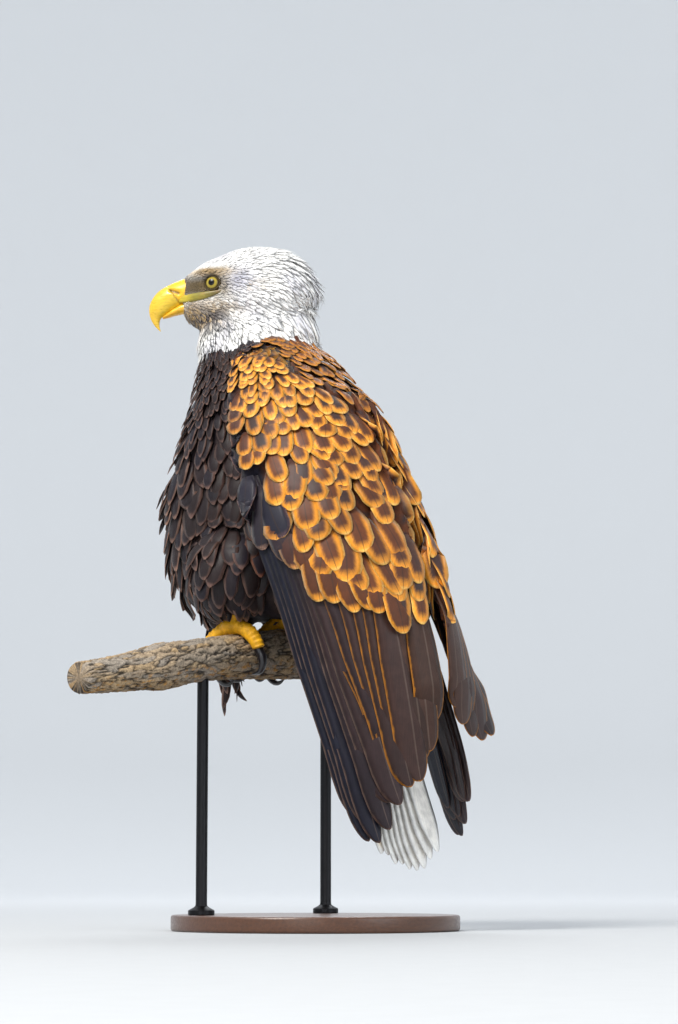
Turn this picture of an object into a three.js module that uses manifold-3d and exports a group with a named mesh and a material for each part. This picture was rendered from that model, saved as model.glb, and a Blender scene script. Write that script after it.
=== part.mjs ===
// A perched bald eagle, life size, on a short cut length of branch held up by a display stand.
// Millimetres, +Z up. The bird faces -Y, its left side is +X, and its head is turned to its left.
// The origin is the centre of the base's underside.
import * as THREE from "three";
import { mergeVertices } from "three/addons/utils/BufferGeometryUtils.js";
import Module from "manifold-3d";

const wasm = await Module();
wasm.setup();

// ---------- driving dimensions ----------
const GAP = 0.6; // clearance between touching pieces
const FINENESS = 0.3; // flat facets this close to a surface stand for it

const BASE = { radius: 165, thick: 18, bevel: 4 };
const ROD = { radius: 6.5, collar: 15, collarHeight: 10, along: [-112, 104] };
const PERCH = {
  place: [0, -72, 318], radius: 27, left: 300, right: 185, yaw: -10, slope: -8,
  wave: 2.4, taper: 0.0012, knot: { along: 175, spread: 30, height: 3 },
};

const PIVOT = { x: 0, y: -79 }; // the vertical line that the neck turns about
const HEAD_YAW = 25; // degrees to the bird's left
const EYE = { forward: 52, side: 18.6, height: 760, radius: 10.8 };

// Sections of neck, trunk and tail base. front and back are [distance ahead of the pivot line, height].
const BODY = [
  { yaw: 25, front: [38, 744], back: [-44, 744], half: 26 },
  { yaw: 25, front: [66, 718], back: [-67, 724], half: 38 },
  { yaw: 24, front: [74, 692], back: [-70, 700], half: 49 },
  { yaw: 18, front: [74, 664], back: [-72, 684], half: 60 },
  { yaw: 9, front: [80, 628], back: [-95, 666], half: 75 },
  { yaw: 3, front: [93, 576], back: [-123, 633], half: 86 },
  { yaw: 0, front: [118, 514], back: [-147, 588], half: 89 },
  { yaw: 0, front: [117, 450], back: [-164, 524], half: 88 },
  { yaw: 0, front: [104, 396], back: [-169, 462], half: 80 },
  { yaw: 0, front: [62, 362], back: [-173, 404], half: 66 },
  { yaw: 0, front: [-40, 352], back: [-177, 350], half: 50 },
  { yaw: 0, front: [-132, 292], back: [-184, 292], half: 38 },
  { yaw: 0, front: [-152, 236], back: [-184, 236], half: 28 },
  { yaw: 0, front: [-166, 208], back: [-172, 208], half: 5 },
];
// Planes that part the body, through a front and a back point.
const HEAD_CUT = { yaw: 25, front: [92, 703], back: [-82, 741] }; // head above, neck below
const NECK_CUT = { yaw: 18, front: [70, 678], back: [-74, 693] }; // neck above, trunk below
const TAIL_CUT = { yaw: 0, front: [-110, 306], back: [-200, 318] }; // trunk above, tail coverts below

// Sections of the head, ahead of the eye and above it.
const HEAD = [
  { ahead: 39, top: 12, bottom: -33, half: 11 },
  { ahead: 30, top: 20, bottom: -46, half: 17.5 },
  { ahead: 15, top: 30.5, bottom: -53, half: 23 },
  { ahead: 0, top: 36.5, bottom: -57, half: 27 },
  { ahead: -20, top: 44.5, bottom: -61, half: 34 },
  { ahead: -44, top: 48.5, bottom: -65, half: 42 },
  { ahead: -70, top: 46.5, bottom: -68, half: 45 },
  { ahead: -95, top: 36.5, bottom: -68, half: 40 },
  { ahead: -112, top: 18, bottom: -63, half: 30 },
  { ahead: -121, top: -8, bottom: -45, half: 13 },
];
const ORBIT = { radius: 15, depth: 10.5, ahead: 2 }; // hollow that the eye sits in, under the brow

// Sections of the upper bill, [ahead of the eye, above the eye], and of the lower.
const UPPER_BILL = [
  { top: [24, 15], bottom: [20, -18.8], half: 12.5 },
  { top: [40.5, 10.4], bottom: [36, -20.4], half: 12.8 },
  { top: [59.8, 2.4], bottom: [46, -23.5], half: 11.4 },
  { top: [71.2, -5.2], bottom: [54, -28.5], half: 9.8 },
  { top: [79, -16.5], bottom: [61, -33], half: 8 },
  { top: [81, -27], bottom: [66, -36.4], half: 6 },
  { top: [78.8, -37.5], bottom: [68, -41], half: 4 },
  { top: [73.8, -46], bottom: [68, -47], half: 2.2 },
  { top: [67.4, -52.6], bottom: [66.4, -52.8], half: 0.6 },
];
const CERE_EDGE = [[58.4, 1], [42, -20.5]]; // where cere meets horn, at the bill's top and bottom
const LOWER_BILL = [
  { top: [20, -16], bottom: [18, -31], half: 10 },
  { top: [37, -18], bottom: [36.5, -31.6], half: 9 },
  { top: [49, -24], bottom: [48, -33.4], half: 7.2 },
  { top: [58, -30], bottom: [57.5, -36], half: 5.2 },
  { top: [64, -34], bottom: [63.4, -37.4], half: 2.4 },
];

// Folded wing, by height: leading edge, corner of the outer curve and trailing edge in plan.
const WING = [
  { z: 702, lead: [34, -60], corner: [34, -36], trail: [10, -34], thick: 4 },
  { z: 666, lead: [76, -70], corner: [90, -6], trail: [12, -2], thick: 24 },
  { z: 619, lead: [99, -66], corner: [114, 40], trail: [13, 60], thick: 38 },
  { z: 573, lead: [112, -50], corner: [126, 64], trail: [14, 89], thick: 42 },
  { z: 527, lead: [119, -34], corner: [134, 84], trail: [13, 107], thick: 42 },
  { z: 480, lead: [121, -22], corner: [136, 100], trail: [12, 126], thick: 40 },
  { z: 434, lead: [118, -6], corner: [131, 114], trail: [11, 140], thick: 34 },
  { z: 387, lead: [110, 12], corner: [120, 126], trail: [10, 150], thick: 26 },
  { z: 341, lead: [99, 32], corner: [106, 136], trail: [10, 157], thick: 12 },
  { z: 300, lead: [90, 50], corner: [93, 143], trail: [10, 162], thick: 3 },
];
// Flight feathers from the first to the last of a fan: root, tip, half width, how far the fan bows out,
// how much longer its middle is, and which way its vanes face, x outwards.
const FLIGHT = {
  left: {
    primaries: {
      root: [[111, 4, 430], [98, 58, 390]], tip: [[60, 98, 104], [40, 132, 140]], half: [14, 20],
      bow: 2, drop: 22, facing: [1, 1.2, 0],
    },
    secondaries: {
      root: [[92, 78, 350], [22, 142, 350]], tip: [[46, 132, 196], [6, 157, 222]], half: [23, 28],
      bow: 11, drop: 50, facing: [0.7, 1, 0],
    },
  },
  right: {
    primaries: {
      root: [[111, 8, 430], [98, 62, 390]], tip: [[66, 150, 112], [48, 172, 146]], half: [14, 20],
      bow: 2, drop: 20, facing: [1, 0.5, 0],
    },
    secondaries: {
      root: [[92, 84, 350], [22, 148, 350]], tip: [[96, 186, 226], [26, 168, 240]], half: [25, 26],
      bow: 11, drop: 18, facing: [-0.15, 1, 0],
    },
  },
};
const SWING = { left: 0, right: 12, high: 500, low: 300 }; // how far each wing's tip hangs back
const FAN_COUNT = 4;
const FLIGHT_THICK = 3;
const FLIGHT_RIM = 0.3; // half of a flight feather's thickness at its edge
const FAN_OUT = [0.64, 0.77, 0]; // the way a fan's middle bows
const VANE = [[0, 0.5], [0.5, 1], [0.86, 0.98], [0.96, 0.72], [1, 0.26]]; // [how far along, width]
const COVERT_EDGE = { lead: [-22, 482], trail: [155, 348] }; // [y, z] of the coverts' lower edge
const PRIMARY_EDGE = [[122, 24, 434], [100, 71, 341], [34, 124, 150]]; // plane between the fans

const TAIL = { count: 7, root: [0, 84, 306], rootSpread: 20, half: 20, tip: [7, 114, 66] };
const TAIL_FAN = {
  across: 42, twist: -28, rootTwist: 3.36, rise: 40, lean: 20, facing: [0.15, 1, 0.15], sag: 4,
};

const LEG = [
  { at: [40, -72, 484], half: [30, 44] },
  { at: [60, -76, 432], half: [44, 57] },
  { at: [59, -80, 388], half: [38, 47] },
  { at: [51, -84, 356], half: [21, 28] },
];
const BELLY_TUFT = [
  { at: [-4, -104, 396], half: [52, 46] },
  { at: [-6, -122, 345], half: [30, 27] },
  { at: [-8, -124, 300], half: [13, 13] },
  { at: [-9, -116, 256], half: [4, 4] },
];
const FOOT_ALONG = 46; // each foot's place along the perch, from its middle
const PAD = { radius: 13, flat: 0.72, rise: 9 }; // ball of the foot, over the perch
const TARSUS = { radius: 8.5, top: [4, 8, 34] };
const TOES = [
  { name: "inner", start: 82, sweep: 92, splay: 0.42, radius: 8.2, talon: 34 },
  { name: "middle", start: 84, sweep: 112, splay: 0.04, radius: 8, talon: 30 },
  { name: "outer", start: 82, sweep: 90, splay: -0.4, radius: 7.4, talon: 26 },
  { name: "hallux", start: 96, sweep: -72, splay: 0.1, radius: 8.6, talon: 38 },
];
const COLOUR = {
  white: 0xf2efe8, dark: 0x2f2320, coverts: 0x6b4318, secondaries: 0x4a342a, primaries: 0x1b1d2b,
  eye: 0xd9c26a, horn: 0xf0b020, mandible: 0xd9a020, cere: 0xe8c020, foot: 0xe0a020, talon: 0x15151a,
  bark: 0x9a8a72, steel: 0x2a2a2c, wood: 0x4a3020,
};

// ---------- curves and shapes ----------
const vec = (x, y, z) => new THREE.Vector3(x, y, z);
const radians = THREE.MathUtils.degToRad;

// A smooth value through evenly spaced ones, for numbers and lists of numbers alike.
function through(values, t) {
  if (Array.isArray(values[0])) {
    return values[0].map((_, k) => through(values.map((v) => v[k]), t));
  }
  const last = values.length - 1;
  const i = Math.min(Math.floor(t), last - 1);
  const at = (k) => values[THREE.MathUtils.clamp(k, 0, last)];
  const u = t - i;
  const slopes = [(at(i + 1) - at(i - 1)) / 2, (at(i + 2) - at(i)) / 2];
  return (
    (2 * u ** 3 - 3 * u ** 2 + 1) * at(i) + (u ** 3 - 2 * u ** 2 + u) * slopes[0] +
    (3 * u ** 2 - 2 * u ** 3) * at(i + 1) + (u ** 3 - u ** 2) * slopes[1]
  );
}

// A section interpolated between stations, each field on its own.
function between(stations, t) {
  const field = (key) => [key, through(stations.map((s) => s[key]), t)];
  return Object.fromEntries(Object.keys(stations[0]).map(field));
}

// A closed skin over rings of equal point count. The end caps zigzag from the ring's two ends inwards,
// so that they fill a crescent as well as an oval.
function loft(rings) {
  const count = rings[0].length;
  const index = [];
  for (let r = 0; r < rings.length - 1; r += 1) {
    for (let k = 0; k < count; k += 1) {
      const a = r * count + k;
      const b = r * count + ((k + 1) % count);
      index.push(a, b, a + count, b, b + count, a + count);
    }
  }
  const last = (rings.length - 1) * count;
  let [low, high] = [0, count - 1];
  while (high - low > 1) {
    const forward = high - low === count - 1 || (high + low) % 2 === (count - 1) % 2;
    const corner = forward ? low + 1 : high - 1;
    index.push(high, corner, low, last + low, last + corner, last + high);
    if (forward) low += 1;
    else high -= 1;
  }
  return new THREE.BufferGeometry().setFromPoints(rings.flat()).setIndex(index);
}

// A three.js geometry as a solid with its faces outwards.
function solid(geometry) {
  const bare = geometry.clone();
  bare.deleteAttribute("normal");
  bare.deleteAttribute("uv");
  const merged = mergeVertices(bare, 1e-4);
  const vertProperties = merged.attributes.position.array;
  const triVerts = new Uint32Array(merged.index.array);
  const made = new wasm.Manifold(new wasm.Mesh({ numProp: 3, vertProperties, triVerts }));
  if (made.volume() > 0) return made;
  for (let i = 0; i < triVerts.length; i += 3) {
    [triVerts[i + 1], triVerts[i + 2]] = [triVerts[i + 2], triVerts[i + 1]];
  }
  return new wasm.Manifold(new wasm.Mesh({ numProp: 3, vertProperties, triVerts }));
}

const join = (solids) => solids.reduce((sum, s) => sum.add(s));

// The largest body of a cut, without slivers or voids.
function largest(shape) {
  return shape.decompose().sort((a, b) => b.volume() - a.volume())[0];
}

// A large block on the side of a plane that its normal points to, shifted along the normal.
function beyond(point, normal, shift = 0) {
  const size = 1600;
  const n = normal.clone().normalize();
  const block = new THREE.BoxGeometry(size, size, size).translate(0, 0, size / 2);
  block.applyQuaternion(new THREE.Quaternion().setFromUnitVectors(vec(0, 0, 1), n));
  block.translate(point.x + n.x * shift, point.y + n.y * shift, point.z + n.z * shift);
  return solid(block);
}

// An oval ring round a centre; square over 2 fills the corners.
function oval(centre, across, along, half, depth, count, square = 2.15) {
  return Array.from({ length: count }, (_, k) => {
    const angle = (2 * Math.PI * k) / count;
    const pull = (v) => Math.sign(v) * Math.abs(v) ** (2 / square);
    return centre.clone()
      .addScaledVector(across, half * pull(Math.sin(angle)))
      .addScaledVector(along, depth * pull(Math.cos(angle)));
  });
}

// A round tube through places, with radii spread evenly along it.
function tube(path, radii, count, steps) {
  const curve = new THREE.CatmullRomCurve3(path);
  const frames = curve.computeFrenetFrames(steps, false);
  return loft(Array.from({ length: steps + 1 }, (_, i) => {
    const t = i / steps;
    const radius = through(radii, t * (radii.length - 1));
    return oval(curve.getPointAt(t), frames.normals[i], frames.binormals[i], radius, radius, count, 2);
  }));
}

// ---------- body ----------
// A point ahead of the pivot line, turned by yaw, with an offset to the bird's left.
function aheadOf(yaw, ahead, height, side = 0) {
  const a = radians(yaw);
  return vec(
    PIVOT.x + Math.sin(a) * ahead + Math.cos(a) * side,
    PIVOT.y - Math.cos(a) * ahead + Math.sin(a) * side,
    height,
  );
}

function bodySolid(grow = 0) {
  const steps = 17;
  const rings = Array.from({ length: steps + 1 }, (_, i) => {
    const s = between(BODY, (i / steps) * (BODY.length - 1));
    const front = aheadOf(s.yaw, ...s.front);
    const back = aheadOf(s.yaw, ...s.back);
    const centre = front.clone().lerp(back, 0.5);
    const along = front.clone().sub(back).normalize();
    const side = aheadOf(s.yaw, 0, 0, 1).sub(aheadOf(s.yaw, 0, 0));
    return oval(centre, side, along, s.half + grow, front.distanceTo(back) / 2 + grow, 18);
  });
  return solid(loft(rings));
}

// All that lies above a parting plane, less half a gap.
function aboveCut(cut, shift = GAP / 2) {
  const front = aheadOf(cut.yaw, ...cut.front);
  const back = aheadOf(cut.yaw, ...cut.back);
  const side = aheadOf(cut.yaw, 0, 0, 1).sub(aheadOf(cut.yaw, 0, 0));
  const normal = side.cross(front.clone().sub(back)).normalize();
  if (normal.z < 0) normal.negate();
  return beyond(front, normal, shift);
}

const headPoint = (ahead, above, side = 0) =>
  aheadOf(HEAD_YAW, EYE.forward + ahead, EYE.height + above, side);

function headSolid(grow = 0) {
  const steps = 12;
  const rings = Array.from({ length: steps + 1 }, (_, i) => {
    const s = between(HEAD, (i / steps) * (HEAD.length - 1));
    const centre = headPoint(s.ahead + (i === 0 ? grow : 0), (s.top + s.bottom) / 2);
    const side = headPoint(0, 0, 1).sub(headPoint(0, 0));
    return oval(centre, side, vec(0, 0, 1), s.half + grow, (s.top - s.bottom) / 2 + grow, 14, 2.1);
  });
  return solid(loft(rings));
}

const ball = (centre, radius, detail = 6) =>
  solid(new THREE.SphereGeometry(radius, detail * 2, detail).translate(centre.x, centre.y, centre.z));

function billSolid(stations, steps, grow = 0) {
  const side = headPoint(0, 0, 1).sub(headPoint(0, 0));
  return solid(loft(Array.from({ length: steps + 1 }, (_, i) => {
    const s = between(stations, (i / steps) * (stations.length - 1));
    const top = headPoint(...s.top);
    const bottom = headPoint(...s.bottom);
    const up = top.clone().sub(bottom);
    const depth = up.length() / 2;
    return oval(top.lerp(bottom, 0.5), side, up.normalize(), s.half + grow, depth + grow, 12, 2);
  })));
}

// ---------- perch and stand ----------
const perchAcross = vec(Math.cos(radians(PERCH.yaw)), Math.sin(radians(PERCH.yaw)), 0);
const perchAxis = perchAcross.clone().multiplyScalar(Math.cos(radians(PERCH.slope)))
  .add(vec(0, 0, Math.sin(radians(PERCH.slope))));
const perchAhead = perchAcross.clone().cross(vec(0, 0, 1)); // level, square to the perch, forwards
const perchUp = perchAhead.clone().cross(perchAxis).normalize().multiplyScalar(-1);
if (perchUp.z < 0) perchUp.negate();

const perchLine = (along) => vec(...PERCH.place).addScaledVector(perchAxis, along)
  .addScaledVector(perchUp, PERCH.wave * Math.sin(along / 58))
  .addScaledVector(perchAhead, PERCH.wave * Math.sin(along / 41 + 1));

// How thick the branch is along its length: it narrows to the bird's left and swells at one knot.
const perchRadius = (along) => {
  const { along: at, spread, height } = PERCH.knot;
  return PERCH.radius * (1 - PERCH.taper * along) + height * Math.exp(-(((along - at) / spread) ** 2));
};

function perchSolid(grow = 0) {
  const steps = 12;
  const count = 12;
  const rings = Array.from({ length: steps + 1 }, (_, i) => {
    const along = THREE.MathUtils.lerp(-PERCH.right, PERCH.left, i / steps);
    const centre = perchLine(along);
    return Array.from({ length: count }, (_, k) => {
      const angle = (2 * Math.PI * k) / count;
      const rough = 0.8 * Math.sin(2 * angle + along / 37);
      const radius = perchRadius(along) + rough + grow;
      return centre.clone().addScaledVector(perchUp, radius * Math.sin(angle))
        .addScaledVector(perchAhead, radius * Math.cos(angle));
    });
  });
  return solid(loft(rings));
}

// A point beside the perch: along it, round it from its front over its top, and out from its axis.
function roundPerch(along, degrees, out) {
  const a = radians(degrees);
  return perchLine(along)
    .addScaledVector(perchUp, out * Math.sin(a)).addScaledVector(perchAhead, out * Math.cos(a));
}

function rodSolid(along, perch) {
  const top = perchLine(along);
  const height = top.z - BASE.thick - GAP;
  const profile = [
    [0, 0], [ROD.collar, 0], [ROD.collar, ROD.collarHeight * 0.6], [ROD.radius + 2, ROD.collarHeight],
    [ROD.radius, ROD.collarHeight + 2], [ROD.radius, height], [0, height],
  ];
  const turned = new THREE.LatheGeometry(profile.map(([r, z]) => new THREE.Vector2(r, z)), 10);
  turned.rotateX(Math.PI / 2).translate(top.x, top.y, BASE.thick + GAP);
  return solid(turned).subtract(perch);
}

// ---------- wings and tail ----------
const mirrored = (side) => (side === "left" ? 1 : -1);

// How far a wing's trailing half swings back, by height, on the side whose wing is held loosely.
const swingBack = (side, z) =>
  SWING[side] * THREE.MathUtils.clamp((SWING.high - z) / (SWING.high - SWING.low), 0, 1);

function wingRing(side, z) {
  const i = Math.max(WING.findIndex((s) => s.z <= z), 1);
  const t = i - 1 + (WING[i - 1].z - z) / (WING[i - 1].z - WING[i].z);
  const s = between(WING, t);
  const back = swingBack(side, z);
  const curve = new THREE.QuadraticBezierCurve(
    new THREE.Vector2(...s.lead),
    new THREE.Vector2(s.corner[0], s.corner[1] + back),
    new THREE.Vector2(s.trail[0], s.trail[1] + back),
  );
  const steps = 6;
  const outer = [];
  const inner = [];
  for (let k = 0; k <= steps; k += 1) {
    const w = k / steps;
    const p = curve.getPoint(w);
    const tangent = curve.getTangent(w);
    const depth = Math.max(1.2, s.thick * Math.sin(Math.PI * w) ** 0.55);
    outer.push(vec(p.x * mirrored(side), p.y, z));
    inner.unshift(vec((p.x - tangent.y * depth) * mirrored(side), p.y + tangent.x * depth, z));
  }
  return [...outer, ...inner];
}

function wingSlab(side) {
  const steps = 9;
  const [high, low] = [WING[0].z, WING.at(-1).z];
  const ring = (_, i) => wingRing(side, THREE.MathUtils.lerp(high, low, i / steps));
  return solid(loft(Array.from({ length: steps + 1 }, ring)));
}

// One feather: a thin blade from root to tip with a rounded end and a ridge for its shaft.
function blade(root, tip, half, outward, sag = 6) {
  const along = tip.clone().sub(root).normalize();
  const across = along.clone().cross(outward).normalize();
  const out = across.clone().cross(along).normalize();
  return solid(loft(VANE.map(([t, wide]) => {
    const centre = root.clone().lerp(tip, t).addScaledVector(out, sag * Math.sin(Math.PI * t));
    const at = (w, d) => centre.clone().addScaledVector(across, w * wide * half).addScaledVector(out, d);
    return [
      at(1, -FLIGHT_RIM), at(1, FLIGHT_RIM), at(0, FLIGHT_THICK / 2),
      at(-1, FLIGHT_RIM), at(-1, -FLIGHT_RIM), at(0, -FLIGHT_THICK / 2),
    ];
  })));
}

function fan(side, spec) {
  const flip = mirrored(side);
  const outward = vec(...spec.facing).normalize();
  outward.x *= flip;
  return join(Array.from({ length: FAN_COUNT }, (_, i) => {
    const q = i / (FAN_COUNT - 1);
    const bulge = Math.sin(Math.PI * q);
    const [root, tip] = [spec.root, spec.tip].map((pair) => vec(...pair[0]).lerp(vec(...pair[1]), q));
    root.addScaledVector(vec(...FAN_OUT), spec.bow * bulge);
    tip.z -= spec.drop * bulge;
    [root, tip].forEach((point) => point.setX(point.x * flip));
    return blade(root, tip, THREE.MathUtils.lerp(...spec.half, q), outward);
  }));
}

function wingNodes(side, body) {
  const flip = mirrored(side);
  const slab = wingSlab(side).subtract(body);
  const lead = vec(0, ...COVERT_EDGE.lead);
  const upward = vec(1, 0, 0).cross(vec(0, ...COVERT_EDGE.trail).sub(lead)).normalize();
  const [a, b, c] = PRIMARY_EDGE.map((p) => vec(p[0] * flip, p[1], p[2]));
  const inward = b.clone().sub(a).cross(c.clone().sub(a)).normalize();
  if (inward.z < 0) inward.negate();
  const below = (shape) => shape.subtract(beyond(lead, upward, -GAP / 2)).subtract(body);
  const primaries = slab.add(fan(side, FLIGHT[side].primaries)).subtract(beyond(a, inward, -GAP / 2));
  const secondaries = slab.add(fan(side, FLIGHT[side].secondaries)).intersect(beyond(a, inward, GAP / 2));
  return {
    coverts: slab.intersect(beyond(lead, upward, GAP / 2)),
    primaries: below(primaries),
    secondaries: below(secondaries),
  };
}

function tailSolid(body) {
  const blades = Array.from({ length: TAIL.count }, (_, i) => {
    const q = 1 - (2 * i) / (TAIL.count - 1); // 1 at the bird's left
    const root = vec(
      TAIL.root[0] + q * TAIL.rootSpread,
      TAIL.root[1] + TAIL_FAN.rootTwist * q,
      TAIL.root[2],
    );
    const tip = vec(
      TAIL.tip[0] + TAIL_FAN.across * q,
      TAIL.tip[1] + TAIL_FAN.twist * q,
      TAIL.tip[2] + TAIL_FAN.rise * q * q + TAIL_FAN.lean * q,
    );
    return blade(root, tip, TAIL.half, vec(...TAIL_FAN.facing), -TAIL_FAN.sag);
  });
  return join(blades).subtract(body);
}

// ---------- legs and feet ----------
// Ovals stacked down a line of stations, level in plan.
function drape(stations, flip, grow = 0) {
  const steps = 6;
  return solid(loft(Array.from({ length: steps + 1 }, (_, i) => {
    const s = between(stations, (i / steps) * (stations.length - 1));
    const [wide, deep] = s.half.map((half) => half + grow);
    return oval(vec(s.at[0] * flip, s.at[1], s.at[2]), vec(1, 0, 0), vec(0, 1, 0), wide, deep, 12, 2);
  })));
}

// A line round the perch from one angle to another, lifted off it by the values along lift.
function toePath(along, flip, toe, from, to, lift) {
  const steps = 6;
  return Array.from({ length: steps + 1 }, (_, i) => {
    const turned = THREE.MathUtils.lerp(from, to, i / steps);
    const reach = radians(Math.abs(turned)) * PERCH.radius;
    const place = along - flip * toe.splay * reach;
    const out = perchRadius(place) + through(lift, (i / steps) * (lift.length - 1));
    return roundPerch(place, toe.start - turned, out);
  });
}

// One foot and its talons, with a margin all round them.
function footSolids(side, grow = 0) {
  const flip = mirrored(side);
  const along = flip * FOOT_ALONG;
  const top = roundPerch(along, 90, perchRadius(along) + PAD.rise);
  const pad = new THREE.SphereGeometry(PAD.radius + grow, 8, 5).scale(1, 1, PAD.flat);
  pad.translate(top.x, top.y, top.z);
  const ankle = top.clone().add(vec(TARSUS.top[0] * flip, TARSUS.top[1], TARSUS.top[2] + grow));
  const shank = [1.5, 0, 1].map((more) => TARSUS.radius + more + grow);
  const foot = [solid(pad), solid(tube([top, top.clone().lerp(ankle, 0.5), ankle], shank, 7, 2))];
  const talons = {};
  TOES.forEach((toe) => {
    const r = toe.radius;
    const path = toePath(along, flip, toe, 0, toe.sweep, [r + 1.6, r + 1.6, r + 1.4, r + 1.2]);
    foot.push(solid(tube(path, [r + 1.5, r, r * 1.04, r * 0.9, r * 0.8].map((v) => v + grow), 6, 4)));
    const turn = Math.sign(toe.sweep) * THREE.MathUtils.radToDeg(toe.talon / (PERCH.radius + 7));
    const arch = [r - 0.5, r + 4, r + 3, 1.5];
    const claw = toePath(along, flip, toe, toe.sweep * 0.94, toe.sweep + turn, arch);
    talons[toe.name] = solid(tube(claw, [r * 0.56, r * 0.6, r * 0.4, 0.7].map((v) => v + grow), 6, 4));
  });
  return { foot: join(foot), talons };
}

// ---------- assembly ----------
const eagle = new THREE.Group();

function place(name, shape, colour, roughness = 0.8, metalness = 0) {
  const { numProp, vertProperties, triVerts } = largest(largest(shape).simplify(FINENESS)).getMesh();
  const places = new Float32Array(vertProperties.length / numProp * 3);
  for (let i = 0; i < places.length / 3; i += 1) {
    places.set(vertProperties.subarray(i * numProp, i * numProp + 3), i * 3);
  }
  const geometry = new THREE.BufferGeometry();
  geometry.setAttribute("position", new THREE.BufferAttribute(places, 3));
  geometry.setIndex(new THREE.BufferAttribute(triVerts, 1));
  geometry.computeVertexNormals();
  const finish = new THREE.MeshStandardMaterial({ color: colour, roughness, metalness });
  const mesh = new THREE.Mesh(geometry, finish);
  mesh.name = name;
  eagle.add(mesh);
}

const sides = ["left", "right"];
const perch = perchSolid();
const perchRoom = perchSolid(GAP);
const footRooms = Object.fromEntries(sides.map((side) => [side, footSolids(side, GAP)]));
const everyPiece = ({ foot, talons }) => [foot, ...Object.values(talons)];
const feetRoom = join(Object.values(footRooms).flatMap(everyPiece));
const bodyRoom = bodySolid(GAP).add(drape(BELLY_TUFT, 1, GAP));
const wholeBody = bodySolid().add(drape(BELLY_TUFT, 1)).subtract(perchRoom).subtract(feetRoom);

// Head, eyes and bill
const eyes = { left: headPoint(0, 0, EYE.side), right: headPoint(0, 0, -EYE.side) };
const orbitSide = EYE.side + EYE.radius + ORBIT.depth;
const orbits = sides.map((side) =>
  ball(headPoint(ORBIT.ahead, 0, mirrored(side) * orbitSide), ORBIT.radius, 5));
const [cereTop, cereFoot] = CERE_EDGE.map((edge) => headPoint(...edge));
const hornward = headPoint(0, 0, 1).sub(headPoint(0, 0)).cross(cereFoot.clone().sub(cereTop));
if (hornward.z > 0) hornward.negate();
const headRoom = headSolid(GAP);
const eyeRooms = join(Object.values(eyes).map((p) => ball(p, EYE.radius + GAP)));
const skull = headSolid().add(bodySolid()).subtract(join(orbits)).subtract(eyeRooms);
const beak = billSolid(UPPER_BILL, 11).subtract(headRoom);
const mandible = billSolid(LOWER_BILL, 6).subtract(billSolid(UPPER_BILL, 11, GAP)).subtract(headRoom);

place("head", skull.intersect(aboveCut(HEAD_CUT)), COLOUR.white);
Object.entries(eyes).forEach(([side, p]) => place(`eye_${side}`, ball(p, EYE.radius), COLOUR.eye, 0.1));
place("bill_upper", beak.intersect(beyond(cereTop, hornward, GAP / 2)), COLOUR.horn, 0.35);
place("cere", beak.subtract(beyond(cereTop, hornward, -GAP / 2)), COLOUR.cere, 0.5);
place("bill_lower", mandible, COLOUR.mandible, 0.4);

// Neck, trunk and tail base
const trunk = wholeBody.subtract(aboveCut(NECK_CUT, -GAP / 2));
const belowHead = bodySolid().subtract(aboveCut(HEAD_CUT, -GAP / 2));
place("neck", belowHead.intersect(aboveCut(NECK_CUT)), COLOUR.white);
place("trunk", trunk.intersect(aboveCut(TAIL_CUT)), COLOUR.dark);
place("tail_coverts", trunk.subtract(aboveCut(TAIL_CUT, -GAP / 2)), COLOUR.white);
place("tail", tailSolid(bodyRoom), COLOUR.white);

// Wings, legs, feet and talons
sides.forEach((side) => {
  Object.entries(wingNodes(side, bodyRoom)).forEach(([name, wing]) => {
    place(`wing_${side}_${name}`, wing, COLOUR[name]);
  });
  const { foot, talons } = footSolids(side);
  const leg = drape(LEG, mirrored(side)).subtract(bodyRoom).subtract(perchRoom).subtract(feetRoom);
  place(`leg_${side}`, leg, COLOUR.dark);
  place(`foot_${side}`, foot.subtract(perchRoom), COLOUR.foot, 0.55);
  Object.entries(talons).forEach(([name, claw]) => {
    const talon = claw.subtract(footRooms[side].foot).subtract(perchRoom);
    place(`talon_${side}_${name}`, talon, COLOUR.talon, 0.3);
  });
});

// Perch and stand
place("perch", perch, COLOUR.bark, 0.9);
["right", "left"].forEach((side, i) => {
  place(`stand_rod_${side}`, rodSolid(ROD.along[i], perchRoom), COLOUR.steel, 0.4, 0.8);
});
const plate = [
  [0, 0], [BASE.radius, 0], [BASE.radius, BASE.thick - BASE.bevel],
  [BASE.radius - BASE.bevel, BASE.thick], [0, BASE.thick],
];
const turnedPlate = new THREE.LatheGeometry(plate.map(([r, z]) => new THREE.Vector2(r, z)), 36);
place("stand_base", solid(turnedPlate.rotateX(Math.PI / 2)), COLOUR.wood, 0.5);

export default eagle;
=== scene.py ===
"""A perched bald eagle with its skin, plumage, bill, feet, cut branch and display stand.

Places are in millimetres in the tables below and in metres everywhere else. The bird faces -Y,
its left side is +X, and its head is turned to its left.
"""
import math
from itertools import product

import bmesh
import bpy
import numpy as np
from mathutils import Matrix, Vector, noise
from mathutils.bvhtree import BVHTree


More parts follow.
